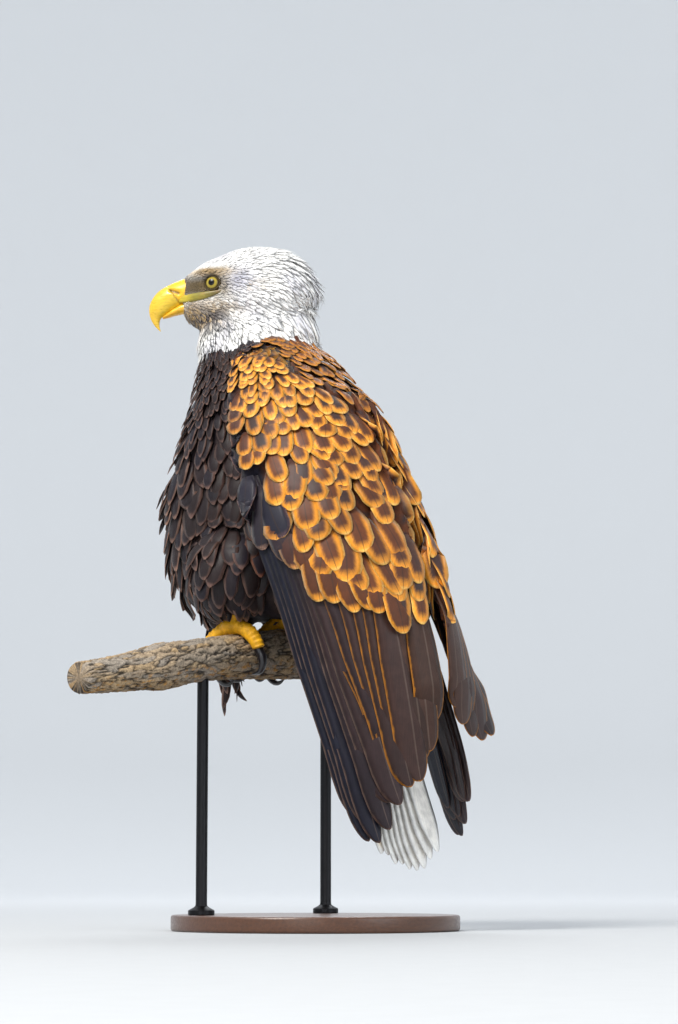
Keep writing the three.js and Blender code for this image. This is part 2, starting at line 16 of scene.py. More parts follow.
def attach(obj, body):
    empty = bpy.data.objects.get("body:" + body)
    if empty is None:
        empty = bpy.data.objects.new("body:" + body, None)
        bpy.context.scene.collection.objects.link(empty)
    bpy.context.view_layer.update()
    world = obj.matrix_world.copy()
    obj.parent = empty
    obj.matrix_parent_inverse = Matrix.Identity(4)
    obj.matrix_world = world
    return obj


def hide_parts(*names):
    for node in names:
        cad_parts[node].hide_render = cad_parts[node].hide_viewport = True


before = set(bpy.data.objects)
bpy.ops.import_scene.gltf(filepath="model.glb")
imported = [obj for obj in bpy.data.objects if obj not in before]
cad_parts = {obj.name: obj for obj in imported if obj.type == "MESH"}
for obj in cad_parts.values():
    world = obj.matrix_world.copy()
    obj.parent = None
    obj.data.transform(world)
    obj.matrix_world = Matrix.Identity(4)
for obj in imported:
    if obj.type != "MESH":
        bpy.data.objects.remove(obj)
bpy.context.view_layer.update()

bl_info = {
    "name": "Perched Bald Eagle",
    "version": (1, 0, 0),
    "blender": (4, 5, 0),
    "location": "View3D > Sidebar > Eagle",
    "description": "Skin, plumage, bill, feet, perch and stand of a life-size perched eagle",
    "category": "Object",
}

MM = 0.001
SHARED = {}  # grounds, finishes and tables made once
SIDES = {"left": 1, "right": -1}
BAKE_MAP = "OFBake"
VANE_MAP = "Vane"
PATCH = 0.003  # size of a feather's patch on the bake map
WING_VOXEL = 0.004
CLEAR_OF_SKIN = 0.0016  # how far feathers on a wing's own ground stay off the skin
COAT_FADE = (0.66, 0.7)  # heights between which the body's coat turns into the head's
# Feathers rooted above "top", between "front" and "back", whose tips come within "reach" of the
# height "tip" would hang across the toes, and are left out.
TOES_CLEAR = {"top": 0.335, "tip": 0.325, "reach": 0.025, "front": -0.135, "back": -0.01}
FEATHER_ROWS = 30  # rows of points along a long feather
LONG_COLUMNS = 8  # points round a long feather

# ---------- head, in mm ahead of the eye, above it and to the side ----------
PIVOT = (0, -79)
HEAD_YAW = math.radians(25)
EYE = {"forward": 52, "side": 18.6, "height": 760, "radius": 10.8, "turn": 12}
IRIS = {"radius": 8.0, "pupil": 3.8}
FORWARD = np.array([math.sin(HEAD_YAW), -math.cos(HEAD_YAW), 0])
LEFTWARD = np.array([math.cos(HEAD_YAW), math.sin(HEAD_YAW), 0])

UPPER_BILL = [  # top (ahead, above), bottom (ahead, above), half width
    ((24, 15), (20, -18.8), 12.5), ((40.5, 10.4), (36, -20.4), 12.8), ((59.8, 2.4), (46, -23.5), 11.4),
    ((71.2, -5.2), (54, -28.5), 9.8), ((79, -16.5), (61, -33), 8), ((81, -27), (66, -36.4), 6),
    ((78.8, -37.5), (68, -41), 4), ((73.8, -46), (68, -47), 2.2), ((67.4, -52.6), (66.4, -52.8), 0.6),
]
LOWER_BILL = [
    ((18, -16), (16, -31), 10), ((37, -18), (36.5, -31.8), 9.4), ((49, -24), (48, -33.6), 7.6),
    ((58, -30), (57.5, -36.2), 5.4), ((64.5, -34.4), (64, -37.6), 2.2),
]
CERE_EDGE = ((58.4, 1), (42, -20.5))
NOSTRIL = {"front": (54.2, -4.4), "back": (43.6, -8.6), "half": 1.9, "depth": 3.2}
GAPE = [((43, -15, 8.2), 4.6), ((27, -16, 17), 5.4), ((10, -14.5, 24), 4.2), ((-10, -11, 29.2), 1.6)]
BROW = [((37, 9, 10), 2.4), ((22, 11, 20.5), 4.2), ((5, 12.8, 28), 5.2), ((-14, 11, 31.5), 3.4)]

# ---------- perch, feet and stand, as the solids have them ----------
PERCH = {
    "place": (0, -72, 318), "radius": 27, "left": 300, "right": 185, "yaw": -10, "slope": -8,
    "wave": 2.4, "taper": 0.0012, "knot": (175, 30, 3),
}
FOOT_ALONG = 46
TARSUS_TOP = (4, 8, 34)
TOES = {  # start and sweep round the perch, splay, radius, talon length
    "inner": (82, 92, 0.42, 8.2, 34), "middle": (84, 112, 0.04, 8, 30),
    "outer": (82, 90, -0.4, 7.4, 26), "hallux": (96, -72, 0.1, 8.6, 38),
}
ROD_ALONG = {"right": -112, "left": 104}
BASE = {"radius": 165, "thick": 18, "bevel": 4}
ROD = {"radius": 6.5, "collar": 15}

# ---------- flight feathers: first and last of each fan, as the solids have them ----------
FLIGHT = {
    ("left", "primaries"): {
        "root": ((111, 4, 430), (98, 58, 390)), "tip": ((60, 98, 104), (40, 132, 140)),
        "half": (14, 18), "bow": 2, "drop": 22, "facing": (1, 1.2, 0), "count": 8, "hidden": 0.16,
    },
    ("left", "secondaries"): {
        "root": ((92, 78, 350), (22, 142, 350)), "tip": ((46, 132, 196), (6, 157, 222)),
        "half": (19, 22), "bow": 11, "drop": 50, "facing": (0.7, 1, 0), "count": 9, "hidden": 0.5,
    },
    ("right", "primaries"): {
        "root": ((111, 8, 430), (98, 62, 390)), "tip": ((66, 150, 112), (48, 172, 146)),
        "half": (14, 18), "bow": 2, "drop": 20, "facing": (1, 0.5, 0), "count": 8, "hidden": 0.16,
    },
    ("right", "secondaries"): {
        "root": ((92, 84, 350), (22, 148, 350)), "tip": ((96, 186, 226), (26, 168, 240)),
        "half": (19, 21), "bow": 11, "drop": 18, "facing": (-0.15, 1, 0), "count": 9, "hidden": 0.5,
    },
}
TAIL = {"count": 12, "root": (0, 84, 306), "root_spread": 20, "half": 20, "tip": (7, 114, 66)}
TAIL_FAN = {"across": 42, "twist": -28, "rise": 40, "lean": 20, "facing": (0.15, 1, 0.15)}

# ---------- lie of the coat: place, heading, length, width, lift at the tip, all in mm ----------
HEAD_LIE = [
    ((36, 14, 0), (-1, 0.35, 0), 6, 2, 0.3),
    ((5, 34, 0), (-1, 0.35, 0), 9, 2.6, 0.5),
    ((-40, 47, 0), (-1, -0.05, 0), 15, 3.2, 0.8),
    ((-85, 42, 0), (-1, -0.45, 0), 26, 3.8, 3.5),
    ((-112, 18, 0), (-0.75, -0.9, 0), 34, 4.4, 7),
    ((-121, -8, 0), (-0.4, -1, 0), 40, 4.6, 6),
    ((-116, -45, 0), (-0.2, -1, 0), 38, 5.4, 4),
    ((28, -6, 16), (-1, -0.1, 0.2), 4, 1.5, 0.2),
    ((8, 16, 27), (-1, 0.1, 0.1), 6, 1.9, 0.3),
    ((0, -22, 27), (-1, -0.45, 0.1), 9, 2.1, 0.7),
    ((-25, -18, 35), (-1, -0.55, 0), 14, 2.8, 0.9),
    ((-55, 5, 42), (-1, -0.35, 0), 17, 3.2, 0.8),
    ((-92, 0, 36), (-0.9, -0.8, 0), 26, 4, 1.8),
    ((24, -42, 0), (-0.55, -1, 0), 11, 2.1, 1.5),
    ((0, -54, 12), (-0.5, -1, 0), 18, 2.6, 2.2),
    ((-15, -45, 28), (-0.7, -1, 0), 19, 3, 1.8),
]
BODY_LIE = [
    ((30, -146, 696), (0, 0.1, -1), 30, 5, 2.2),
    ((62, -92, 700), (0.15, 0.1, -1), 30, 5.4, 1.4),
    ((0, -5, 705), (0, 0.35, -1), 34, 6, 1.4),
    ((35, -160, 640), (0, -0.15, -1), 36, 17, 3),
    ((0, -192, 520), (0, -0.1, -1), 46, 23, 8),
    ((78, -130, 520), (0.1, -0.1, -1), 50, 28, 3),
    ((0, -190, 430), (0, 0.2, -1), 46, 21, 9),
    ((0, -140, 350), (0, 0.3, -1), 44, 12, 5),
    ((100, -80, 430), (0, -0.05, -1), 44, 22, 3),
    ((60, -85, 360), (0, 0, -1), 28, 8, 2),
    ((85, -20, 480), (0, 0.2, -1), 44, 20, 1.5),
    ((25, 10, 650), (0, 0.5, -1), 30, 15, 1.2),
    ((0, 62, 560), (0, 0.45, -1), 46, 24, 1.2),
    ((0, 95, 420), (0, 0.15, -1), 50, 26, 1.5),
    ((0, 95, 280), (0, 0.1, -1), 55, 17, 2),
    ((0, -20, 330), (0, 0.8, -0.6), 40, 13, 2),
    ((-8, -120, 270), (0, 0, -1), 42, 8, 3),
    ((78, -66, 660), (0.1, 0.1, -1), 19, 13, 0.8),
    ((50, -30, 676), (0.25, 0.35, -1), 19, 13, 0.8),
    ((112, -30, 580), (0, 0.15, -1), 30, 20, 0.9),
    ((70, 60, 590), (-0.1, 0.35, -1), 34, 24, 1),
    ((120, 0, 490), (0, 0.2, -1), 48, 30, 1),
    ((60, 112, 470), (-0.1, 0.3, -1), 52, 32, 1.2),
]
NAPE = {"height": 0.708, "reach": 0.026, "ahead": 20}  # where head and neck run into each other
# One row of great coverts over the roots of the flight feathers: distance back and height in mm of
# the first and last root, how many, and their length and width.
GREAT_COVERTS = {"first": (-30, 520), "last": (128, 400), "count": 12, "length": (84, 72), "width": (29, 34)}


def srgb(red, green, blue):
    """A colour as a monitor shows it, turned into the linear values that shaders use."""
    return tuple(c / 12.92 if c <= 0.04045 else ((c + 0.055) / 1.055) ** 2.4 for c in (red, green, blue))


def colour_property(name, description, value):
    return bpy.props.FloatVectorProperty(
        name=name, description=description, subtype="COLOR", size=3, min=0, max=1, default=srgb(*value)
    )


class EagleSizes(bpy.types.PropertyGroup):
    """Sizes that shape the coat."""

    coat_depth: bpy.props.FloatProperty(
        name="Coat depth", description="How far the skin lies inside the body's outline", default=0.006,
        min=0.001, max=0.02, subtype="DISTANCE", unit="LENGTH",
    )
    face_depth: bpy.props.FloatProperty(
        name="Face depth", description="The same round the eyes and bill", default=0.0008,
        min=0.0, max=0.005, subtype="DISTANCE", unit="LENGTH",
    )
    skin_voxel: bpy.props.FloatProperty(
        name="Skin voxel", description="Fineness of the skin", default=0.0029, min=0.001, max=0.01,
        subtype="DISTANCE", unit="LENGTH",
    )
    overlap: bpy.props.FloatProperty(
        name="Overlap", description="Spacing of small feathers as a share of their length and width",
        default=0.62, min=0.3, max=1.2, subtype="FACTOR",
    )
    seed: bpy.props.IntProperty(name="Seed", description="Start of the feathers' variation", default=11)


class EagleColours(bpy.types.PropertyGroup):
    """Colours of plumage and bare skin."""

    white: colour_property("White", "Head, neck and tail", (0.95, 0.945, 0.93))
    # Shade is painted shade: a lavender grey laid behind the eye and in soft clouds over the white head and
    # neck.
    shade: colour_property("Shade", "Grey of the white plumage's bases", (0.60, 0.60, 0.70))
    tan: colour_property("Tan", "Stain on face and throat", (0.56, 0.44, 0.22))
    olive: colour_property("Olive", "Bare skin between bill and eye", (0.36, 0.28, 0.09))
    amber: colour_property("Amber", "Fringes of the coverts", (0.93, 0.60, 0.16))
    gilt: colour_property("Gilt", "Outer line of the fringes", (1.0, 0.82, 0.46))
    chestnut: colour_property("Chestnut", "Centres of the coverts", (0.34, 0.17, 0.06))
    umber: colour_property("Umber", "Breast, belly and thighs", (0.165, 0.108, 0.105))
    dust: colour_property("Dust", "Edges of breast feathers", (0.52, 0.40, 0.34))
    # Ink is dark plumage with a painted blue sheen in it; on the wing's leading edge it also stands for
    # painted shade.
    ink: colour_property("Ink", "Wing's leading edge and outer flight feathers", (0.07, 0.075, 0.14))
    sepia: colour_property("Sepia", "Inner flight feathers", (0.29, 0.19, 0.14))


def sizes():
    return bpy.context.scene.eagle_sizes


def colours():
    return bpy.context.scene.eagle_colours


# ---------- numbers and places ----------
def unit(vectors):
    """Vectors along the last axis at length one."""
    vectors = np.asarray(vectors, float)
    return vectors / np.maximum(np.linalg.norm(vectors, axis=-1, keepdims=True), 1e-12)


def smooth(value, low, high):
    """0 below low, 1 above high, eased between."""
    t = np.clip((np.asarray(value, float) - low) / (high - low), 0, 1)
    return t * t * (3 - 2 * t)


def through(values, t):
    """Evenly spaced values joined by a smooth curve and read at t, counted in values."""
    values = np.asarray(values, float)
    last = len(values) - 1
    t = np.clip(np.asarray(t, float), 0, last)
    i = np.minimum(t.astype(int), last - 1)
    u = (t - i).reshape(t.shape + (1,) * (values.ndim - 1))
    before, start = values[np.maximum(i - 1, 0)], values[i]
    end, after = values[i + 1], values[np.minimum(i + 2, last)]
    return (
        (2 * u**3 - 3 * u**2 + 1) * start + (u**3 - 2 * u**2 + u) * (end - before) / 2
        + (3 * u**2 - 2 * u**3) * end + (u**3 - u**2) * (after - start) / 2
    )


def head_point(ahead, above, side=0):
    """A place in the head, in metres, from millimetres ahead of the eye, above it and to its side."""
    base = np.array([PIVOT[0], PIVOT[1], EYE["height"] + above], float)
    return (base + FORWARD * (EYE["forward"] + ahead) + LEFTWARD * side) * MM


def head_places(points):
    """Millimetres ahead of the eye, above it and to its side, for places in metres."""
    offset = points / MM - np.array([PIVOT[0], PIVOT[1], EYE["height"]])
    return np.stack([offset @ FORWARD - EYE["forward"], offset[:, 2], offset @ LEFTWARD], axis=1)


# ---------- meshes ----------
def lone(obj):
    """Makes an object the only one selected, and active."""
    bpy.ops.object.select_all(action="DESELECT")
    obj.select_set(True)
    bpy.context.view_layer.objects.active = obj


def apply_modifier(obj, kind, **settings):
    lone(obj)
    modifier = obj.modifiers.new(kind.title(), kind)
    for key, value in settings.items():
        setattr(modifier, key, value)
    bpy.ops.object.modifier_apply(modifier=modifier.name)


def finish_piece(obj, material, slot, replaces=(), smooth_shading=True):
    """Gives a piece its material, puts it on the frame's body and lets it stand for its nodes."""
    obj.data.materials.clear()
    obj.data.materials.append(material)
    if smooth_shading:
        obj.data.polygons.foreach_set("use_smooth", [True] * len(obj.data.polygons))
    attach(obj, "root")
    if replaces:
        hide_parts(*replaces)
    return obj


def placed(name, mesh):
    """A new object of a mesh, put in the scene."""
    obj = bpy.data.objects.new(name, mesh)
    bpy.context.scene.collection.objects.link(obj)
    return obj


def read(items, attribute, width=3, kind=float):
    """An attribute of a mesh's items, as rows of an array."""
    flat = np.empty(len(items) * width, kind)
    items.foreach_get(attribute, flat)
    return flat.reshape(-1, width)


def paint(mesh, title, values):
    """Stores colours by point."""
    layer = mesh.color_attributes.new(name=title, type="FLOAT_COLOR", domain="POINT")
    layer.data.foreach_set("color", np.asarray(values).astype(np.float32).ravel())


def joined(parts):
    """Parts joined into the first of them."""
    bpy.ops.object.select_all(action="DESELECT")
    for part in parts:
        part.select_set(True)
    bpy.context.view_layer.objects.active = parts[0]
    bpy.ops.object.join()
    return parts[0]


def mesh_object(name, points, faces, maps=None, tints=None):
    """An object from arrays: faces all have the same number of corners, maps and tints are by point."""
    mesh = bpy.data.meshes.new(name)
    faces = np.asarray(faces, np.int32)
    mesh.vertices.add(len(points))
    mesh.vertices.foreach_set("co", np.asarray(points, np.float32).ravel())
    mesh.loops.add(faces.size)
    mesh.loops.foreach_set("vertex_index", faces.ravel())
    mesh.polygons.add(len(faces))
    mesh.polygons.foreach_set("loop_start", np.arange(0, faces.size, faces.shape[1], dtype=np.int32))
    mesh.update(calc_edges=True)
    for title, values in (maps or {}).items():
        layer = mesh.uv_layers.new(name=title)
        layer.data.foreach_set("uv", np.asarray(values, np.float32)[faces.ravel()].ravel())
    for title, values in (tints or {}).items():
        paint(mesh, title, values)
    return placed(name, mesh)


def ring_faces(rings, count):
    """Quads between closed rings of equal count."""
    r, k = np.meshgrid(np.arange(rings - 1), np.arange(count), indexing="ij")
    a, b = r * count + k, r * count + (k + 1) % count
    return np.stack([a, b, b + count, a + count], axis=-1).reshape(-1, 4)


def outward(obj):
    """Turns a closed mesh's faces out."""
    work = bmesh.new()
    work.from_mesh(obj.data)
    bmesh.ops.recalc_face_normals(work, faces=work.faces)
    work.to_mesh(obj.data)
    work.free()
    return obj


def loft(name, rings, tint=None):
    """A closed tube over rings (rings, count, 3), with its ends drawn together to a point."""
    rings = np.asarray(rings, float)
    steps, count = rings.shape[:2]
    work = bmesh.new()
    verts = [work.verts.new(p) for p in (*rings.reshape(-1, 3), rings[0].mean(0), rings[-1].mean(0))]
    for face in ring_faces(steps, count):
        work.faces.new([verts[i] for i in face])
    last = (steps - 1) * count
    for k in range(count):
        after = (k + 1) % count
        work.faces.new((verts[-2], verts[after], verts[k]))
        work.faces.new((verts[-1], verts[last + k], verts[last + after]))
    bmesh.ops.recalc_face_normals(work, faces=work.faces)
    mesh = bpy.data.meshes.new(name)
    work.to_mesh(mesh)
    work.free()
    if tint is not None:
        paint(mesh, "Base", np.concatenate([tint, tint[:count].mean(0)[None], tint[-count:].mean(0)[None]]))
    return placed(name, mesh)


def evenly(values, steps):
    """Values joined by a smooth curve and read at even steps."""
    return through(values, np.linspace(0, len(values) - 1, steps))


def turns(count):
    """Even angles once round."""
    return np.linspace(0, 2 * np.pi, count, endpoint=False)


def line_rings(line, radius, count, above, flatten=1.0):
    """Round rings along a line, kept upright by a direction and flattened towards it."""
    heading = unit(np.gradient(line, axis=0))
    side = unit(np.cross(heading, np.asarray(above, float)))
    top = np.cross(side, heading)
    angle = turns(count)
    across = np.cos(angle)[None, :, None] * side[:, None]
    upward = np.sin(angle)[None, :, None] * top[:, None] * flatten
    return line[:, None] + radius[:, None, None] * (across + upward)


def tube_rings(path, radii, count, steps, flatten=1.0, above=(0, 0, 1)):
    """Rings round a smooth path, with radii spread along it, flattened towards above."""
    return line_rings(evenly(path, steps), evenly(radii, steps), count, above, flatten)


# ---------- shader helpers ----------
def feed(tree, node, inputs):
    """Links sockets to a node's inputs, or sets plain values on them."""
    for key, value in inputs.items():
        if isinstance(value, bpy.types.NodeSocket):
            tree.links.new(value, node.inputs[key])
        else:
            node.inputs[key].default_value = value


def add_node(tree, kind, links=None, **settings):
    """A node with settings, and inputs given as sockets to link or as values."""
    made = tree.nodes.new(kind)
    for key, value in settings.items():
        setattr(made, key, value)
    feed(tree, made, links or {})
    return made


def calc(tree, operation, first, second=0.0, third=0.0, clamp=False):
    links = {0: first, 1: second, 2: third}
    return add_node(tree, "ShaderNodeMath", links, operation=operation, use_clamp=clamp).outputs[0]


def ease(tree, value, low, high, bottom=0.0, top=1.0):
    """A value eased from bottom to top as it goes from low to high."""
    links = {"Value": value, "From Min": low, "From Max": high, "To Min": bottom, "To Max": top}
    return add_node(tree, "ShaderNodeMapRange", links, interpolation_type="SMOOTHSTEP").outputs[0]


def blend(tree, factor, first, second):
    mix = add_node(tree, "ShaderNodeMix", {0: factor}, data_type="RGBA")
    for key, value in ((6, first), (7, second)):
        feed(tree, mix, {key: value if isinstance(value, bpy.types.NodeSocket) else (*value[:3], 1)})
    return mix.outputs[2]


def attribute(tree, name):
    return add_node(tree, "ShaderNodeAttribute", attribute_name=name).outputs


def toned(tree, colour, value, low, high, least, most):
    """A colour made from least to most times as light as a value goes from low to high."""
    links = {"Color": colour, "Value": ease(tree, value, low, high, least, most)}
    return add_node(tree, "ShaderNodeHueSaturation", links).outputs[0]


def speckle(tree, place, scale, detail=3.0, rough=0.55):
    """Noise by place, from 0 to 1."""
    links = {"Vector": place, "Scale": scale, "Detail": detail, "Roughness": rough}
    return add_node(tree, "ShaderNodeTexNoise", links).outputs["Fac"]


def stretched(tree, place, scale):
    return add_node(tree, "ShaderNodeMapping", {"Vector": place, "Scale": scale}).outputs[0]


def new_material(name):
    """A material with its tree, its Principled shader and the object's own coordinates."""
    material = bpy.data.materials.new(name)
    material.use_nodes = True
    tree = material.node_tree
    shader = tree.nodes["Principled BSDF"]
    place = add_node(tree, "ShaderNodeTexCoord").outputs["Object"]
    return material, tree, shader, place


def bump(tree, shader, height, strength, distance):
    links = {"Height": height, "Strength": strength, "Distance": distance}
    feed(tree, shader, {"Normal": add_node(tree, "ShaderNodeBump", links).outputs[0]})


def vane_pattern():
    """Node group: a feather's fringe, its pale outer line, its shaft and its barbs."""
    name = "vane pattern"
    if name in bpy.data.node_groups:
        return bpy.data.node_groups[name]
    group = bpy.data.node_groups.new(name, "ShaderNodeTree")
    for title, kind in (("Vane", "Vector"), ("Fringe", "Float"), ("Aspect", "Float")):
        group.interface.new_socket(title, in_out="INPUT", socket_type=f"NodeSocket{kind}")
    for title in ("Edge", "Line", "Shaft", "Barbs"):
        group.interface.new_socket(title, in_out="OUTPUT", socket_type="NodeSocketFloat")
    given, out = group.nodes.new("NodeGroupInput"), group.nodes.new("NodeGroupOutput")
    parts = add_node(group, "ShaderNodeSeparateXYZ", {0: given.outputs["Vane"]}).outputs
    middle = calc(group, "ABSOLUTE", calc(group, "MULTIPLY_ADD", parts[0], 2.0, -1.0))
    near_tip = calc(group, "MULTIPLY_ADD", parts[1], 2.6, -1.6, clamp=True)
    narrowing = calc(group, "SQRT", calc(group, "SUBTRACT", 1.02, calc(group, "POWER", near_tip, 2.0)))
    side = calc(group, "MULTIPLY", calc(group, "SUBTRACT", 1.0, middle), narrowing)
    to_tip = calc(group, "SUBTRACT", 1.0, parts[1])
    tip = calc(group, "MULTIPLY", calc(group, "MULTIPLY", to_tip, given.outputs["Aspect"]), 2.0)
    wobble = speckle(group, stretched(group, given.outputs["Vane"], (3, 9, 1)), 3.0, 2.0)
    rim = calc(group, "SMOOTH_MIN", side, tip, 0.12)
    rim = calc(group, "ADD", rim, calc(group, "MULTIPLY", calc(group, "SUBTRACT", wobble, 0.5), 0.12))
    slant = calc(group, "MULTIPLY_ADD", middle, -0.35, parts[1])
    streak = add_node(group, "ShaderNodeCombineXYZ", {0: calc(group, "MULTIPLY", slant, 42.0), 1: middle})
    barbs = speckle(group, streak.outputs[0], 1.4, 3.0, 0.7)
    ratio = calc(group, "DIVIDE", rim, calc(group, "MAXIMUM", given.outputs["Fringe"], 0.01))
    ratio = calc(group, "ADD", ratio, calc(group, "MULTIPLY_ADD", barbs, 0.9, -0.45))
    distal = ease(group, parts[1], 0.12, 0.5)
    feed(group, out, {
        "Edge": calc(group, "MULTIPLY", ease(group, ratio, 0.3, 1.35, 1.0, 0.0), distal),
        "Line": calc(group, "MULTIPLY", ease(group, ratio, 0.08, 0.36, 1.0, 0.0), distal),
        "Shaft": ease(group, middle, 0.02, 0.07, 1.0, 0.0),
        "Barbs": barbs,
    })
    return group


def feather_material(name, roughness, sheen, shaft, shaft_share, line, aspect, shine=0.35):
    """Plumage: base and fringe colours from the coat's own attributes, pattern from its vane map."""
    material, tree, shader, place = new_material(name)
    fringe = attribute(tree, "Fringe")
    vane = add_node(tree, "ShaderNodeUVMap", uv_map=VANE_MAP).outputs[0]
    inputs = {"Vane": vane, "Fringe": fringe["Alpha"], "Aspect": aspect}
    pattern = add_node(tree, "ShaderNodeGroup", node_tree=vane_pattern())
    feed(tree, pattern, inputs)
    edge, outer, rib, barbs = (pattern.outputs[key] for key in ("Edge", "Line", "Shaft", "Barbs"))
    web = toned(tree, attribute(tree, "Base")["Color"], barbs, 0.3, 0.7, 0.84, 1.16)
    seen = blend(tree, edge, web, fringe["Color"])
    seen = blend(tree, calc(tree, "MULTIPLY", outer, line), seen, attribute(tree, "Line")["Color"])
    seen = blend(tree, calc(tree, "MULTIPLY", rib, shaft_share), seen, shaft)
    feed(tree, shader, {
        "Base Color": toned(tree, seen, speckle(tree, place, 90.0, 4.0), 0.3, 0.7, 0.86, 1.12),
        "Roughness": ease(tree, barbs, 0.2, 0.8, roughness - 0.1, roughness + 0.12),
        "Sheen Weight": sheen, "Sheen Roughness": 0.4, "Specular IOR Level": shine,
    })
    bump(tree, shader, barbs, 0.35, 0.0006)
    return material


def skin_material(name, roughness, depth, scale, darkest, lightest):
    """Bare or covered skin: the piece's own Base tint, mottled, with a fine pebbled bump."""
    material, tree, shader, place = new_material(name)
    mottle = speckle(tree, place, scale * 0.12, 4.0)
    grain = speckle(tree, place, scale, 5.0, 0.6)
    feed(tree, shader, {
        "Base Color": toned(tree, attribute(tree, "Base")["Color"], mottle, 0.3, 0.7, darkest, lightest),
        "Roughness": ease(tree, grain, 0.3, 0.7, roughness - 0.1, roughness + 0.12),
        "Specular IOR Level": 0.3,
    })
    bump(tree, shader, grain, 0.5, depth)
    return material


# ---------- ground that feathers are rooted on ----------
AROUND = tuple(product((-1, 0, 1), repeat=3))  # steps from a cell to itself and its neighbours


class Ground:
    """A surface with its nearest places, smooth normals and bake map."""

    def __init__(self, mesh):
        mesh.calc_loop_triangles()
        self.points = read(mesh.vertices, "co")
        self.normals = read(mesh.vertices, "normal")
        self.corners = read(mesh.loop_triangles, "vertices", 3, np.int32)
        self.map = None
        if BAKE_MAP in mesh.uv_layers:
            loops = read(mesh.loop_triangles, "loops", 3, np.int32)
            self.map = read(mesh.uv_layers[BAKE_MAP].data, "uv", 2)[loops]
        self.tree = BVHTree.FromPolygons(self.points.tolist(), self.corners.tolist())

    def nearest(self, places):
        """Nearest places, smooth normals and bake map coordinates."""
        hits = [self.tree.find_nearest(p) for p in places.tolist()]
        spots = np.array([h[0] for h in hits])
        index = np.array([h[2] for h in hits])
        a, b, c = (self.points[self.corners[index, k]] for k in range(3))
        area = np.cross(b - a, c - a)
        size = np.maximum((area * area).sum(1), 1e-20)
        wa = (np.cross(c - b, spots - b) * area).sum(1) / size
        wb = (np.cross(a - c, spots - c) * area).sum(1) / size
        weights = np.clip(np.stack([wa, wb, 1 - wa - wb], axis=1), 0, 1)
        normals = unit((self.normals[self.corners[index]] * weights[..., None]).sum(1))
        spot_map = None if self.map is None else (self.map[index] * weights[..., None]).sum(1)
        return spots, normals, spot_map

    def scatter(self, spacing, keep, rng):
        """Places spaced unevenly but never closer than spacing, a function of place, where keep allows."""
        a, b, c = (self.points[self.corners[:, k]] for k in range(3))
        centre = (a + b + c) / 3
        allowed = keep(centre)
        area = np.linalg.norm(np.cross(b - a, c - a), axis=1) / 2 * allowed
        local = spacing(centre)
        chance = area / local**2
        tries = int(chance.sum() * 5)
        pick = rng.choice(len(area), tries, p=chance / chance.sum())
        u, v = rng.random((2, tries))
        flip = u + v > 1
        u[flip], v[flip] = 1 - u[flip], 1 - v[flip]
        spots = a[pick] + u[:, None] * (b - a)[pick] + v[:, None] * (c - a)[pick]
        cell = float(local[pick].max())
        grid, chosen = {}, []
        keys = np.floor(spots / cell).astype(int).tolist()
        for i, (key, place, limit) in enumerate(zip(keys, spots.tolist(), (local[pick] ** 2).tolist())):
            near = (spot for step in AROUND for spot in grid.get(tuple(map(int.__add__, key, step)), ()))
            if all(sum((p - q) ** 2 for p, q in zip(place, other)) >= limit for other in near):
                grid.setdefault(tuple(key), []).append(place)
                chosen.append(i)
        return spots[chosen]


def merged_copy(names, title):
    """One mesh of several nodes, with the loose triangles of each merged."""
    work = bmesh.new()
    for name in names:
        work.from_mesh(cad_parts[name].data)
    bmesh.ops.remove_doubles(work, verts=work.verts, dist=1e-6)
    mesh = bpy.data.meshes.new(title)
    work.to_mesh(mesh)
    work.free()
    return placed(title, mesh)


def node_tree(names):
    """A search tree over several nodes' faces, and the node that each face belongs to."""
    points, faces, owners = [], [], []
    for name in names:
        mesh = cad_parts[name].data
        start = len(points)
        points += [tuple(v.co) for v in mesh.vertices]
        faces += [tuple(start + i for i in p.vertices) for p in mesh.polygons]
        owners += [name] * len(mesh.polygons)
    return BVHTree.FromPolygons(points, faces), np.array(owners)


FLESH = [
    "head", "neck", "trunk", "tail_coverts", "leg_left", "leg_right",
    "wing_left_coverts", "wing_right_coverts",
]


class Labels:
    """Which node of flesh a place belongs to."""

    def __init__(self):
        self.tree, self.names = node_tree(FLESH)

    def of(self, places):
        return self.names[[self.tree.find_nearest(p)[2] for p in places.tolist()]]


LIE_BATCH = 20000  # places read at once


def lie_table():
    """Both sides' control places and their heading, length, width and lift, in metres."""
    places, values = [], []
    for table, on_head in ((HEAD_LIE, True), (BODY_LIE, False)):
        for place, heading, *measures in table:
            for flip in (1, -1):
                if on_head:
                    places.append(head_point(place[0], place[1], place[2] * flip))
                    turned = FORWARD * heading[0] + LEFTWARD * heading[2] * flip + (0, 0, heading[1])
                else:
                    places.append(np.array([place[0] * flip, place[1], place[2]]) * MM)
                    turned = np.array([heading[0] * flip, heading[1], heading[2]], float)
                values.append([*unit(turned), *(measure * MM for measure in measures)])
    return np.array(places), np.array(values)


def lie(points):
    """Heading, length, width and lift of the coat at places, from the controls round them."""
    if "lie" not in SHARED:
        SHARED["lie"] = lie_table()
    places, values = SHARED["lie"]
    made = np.empty((len(points), 6))
    for start in range(0, len(points), LIE_BATCH):
        part = points[start : start + LIE_BATCH]
        gap = np.linalg.norm(part[:, None] - places[None], axis=2)
        weight = 1 / (gap**3.2 + 1e-9)
        made[start : start + LIE_BATCH] = (weight @ values) / weight.sum(1, keepdims=True)
    return unit(made[:, :3]), made[:, 3], made[:, 4], made[:, 5]


def bare_face(points):
    """1 on the bare or short-feathered skin round bill and eye, 0 on the coat."""
    at = head_places(points)
    lores = np.exp(-(((at[:, 0] - 18) / 20) ** 2) - ((at[:, 1] + 4) / 15) ** 2)
    muzzle = smooth(at[:, 0], 20, 36)
    return np.clip(lores * 1.25 + muzzle, 0, 1) * (points[:, 2] > 0.69)


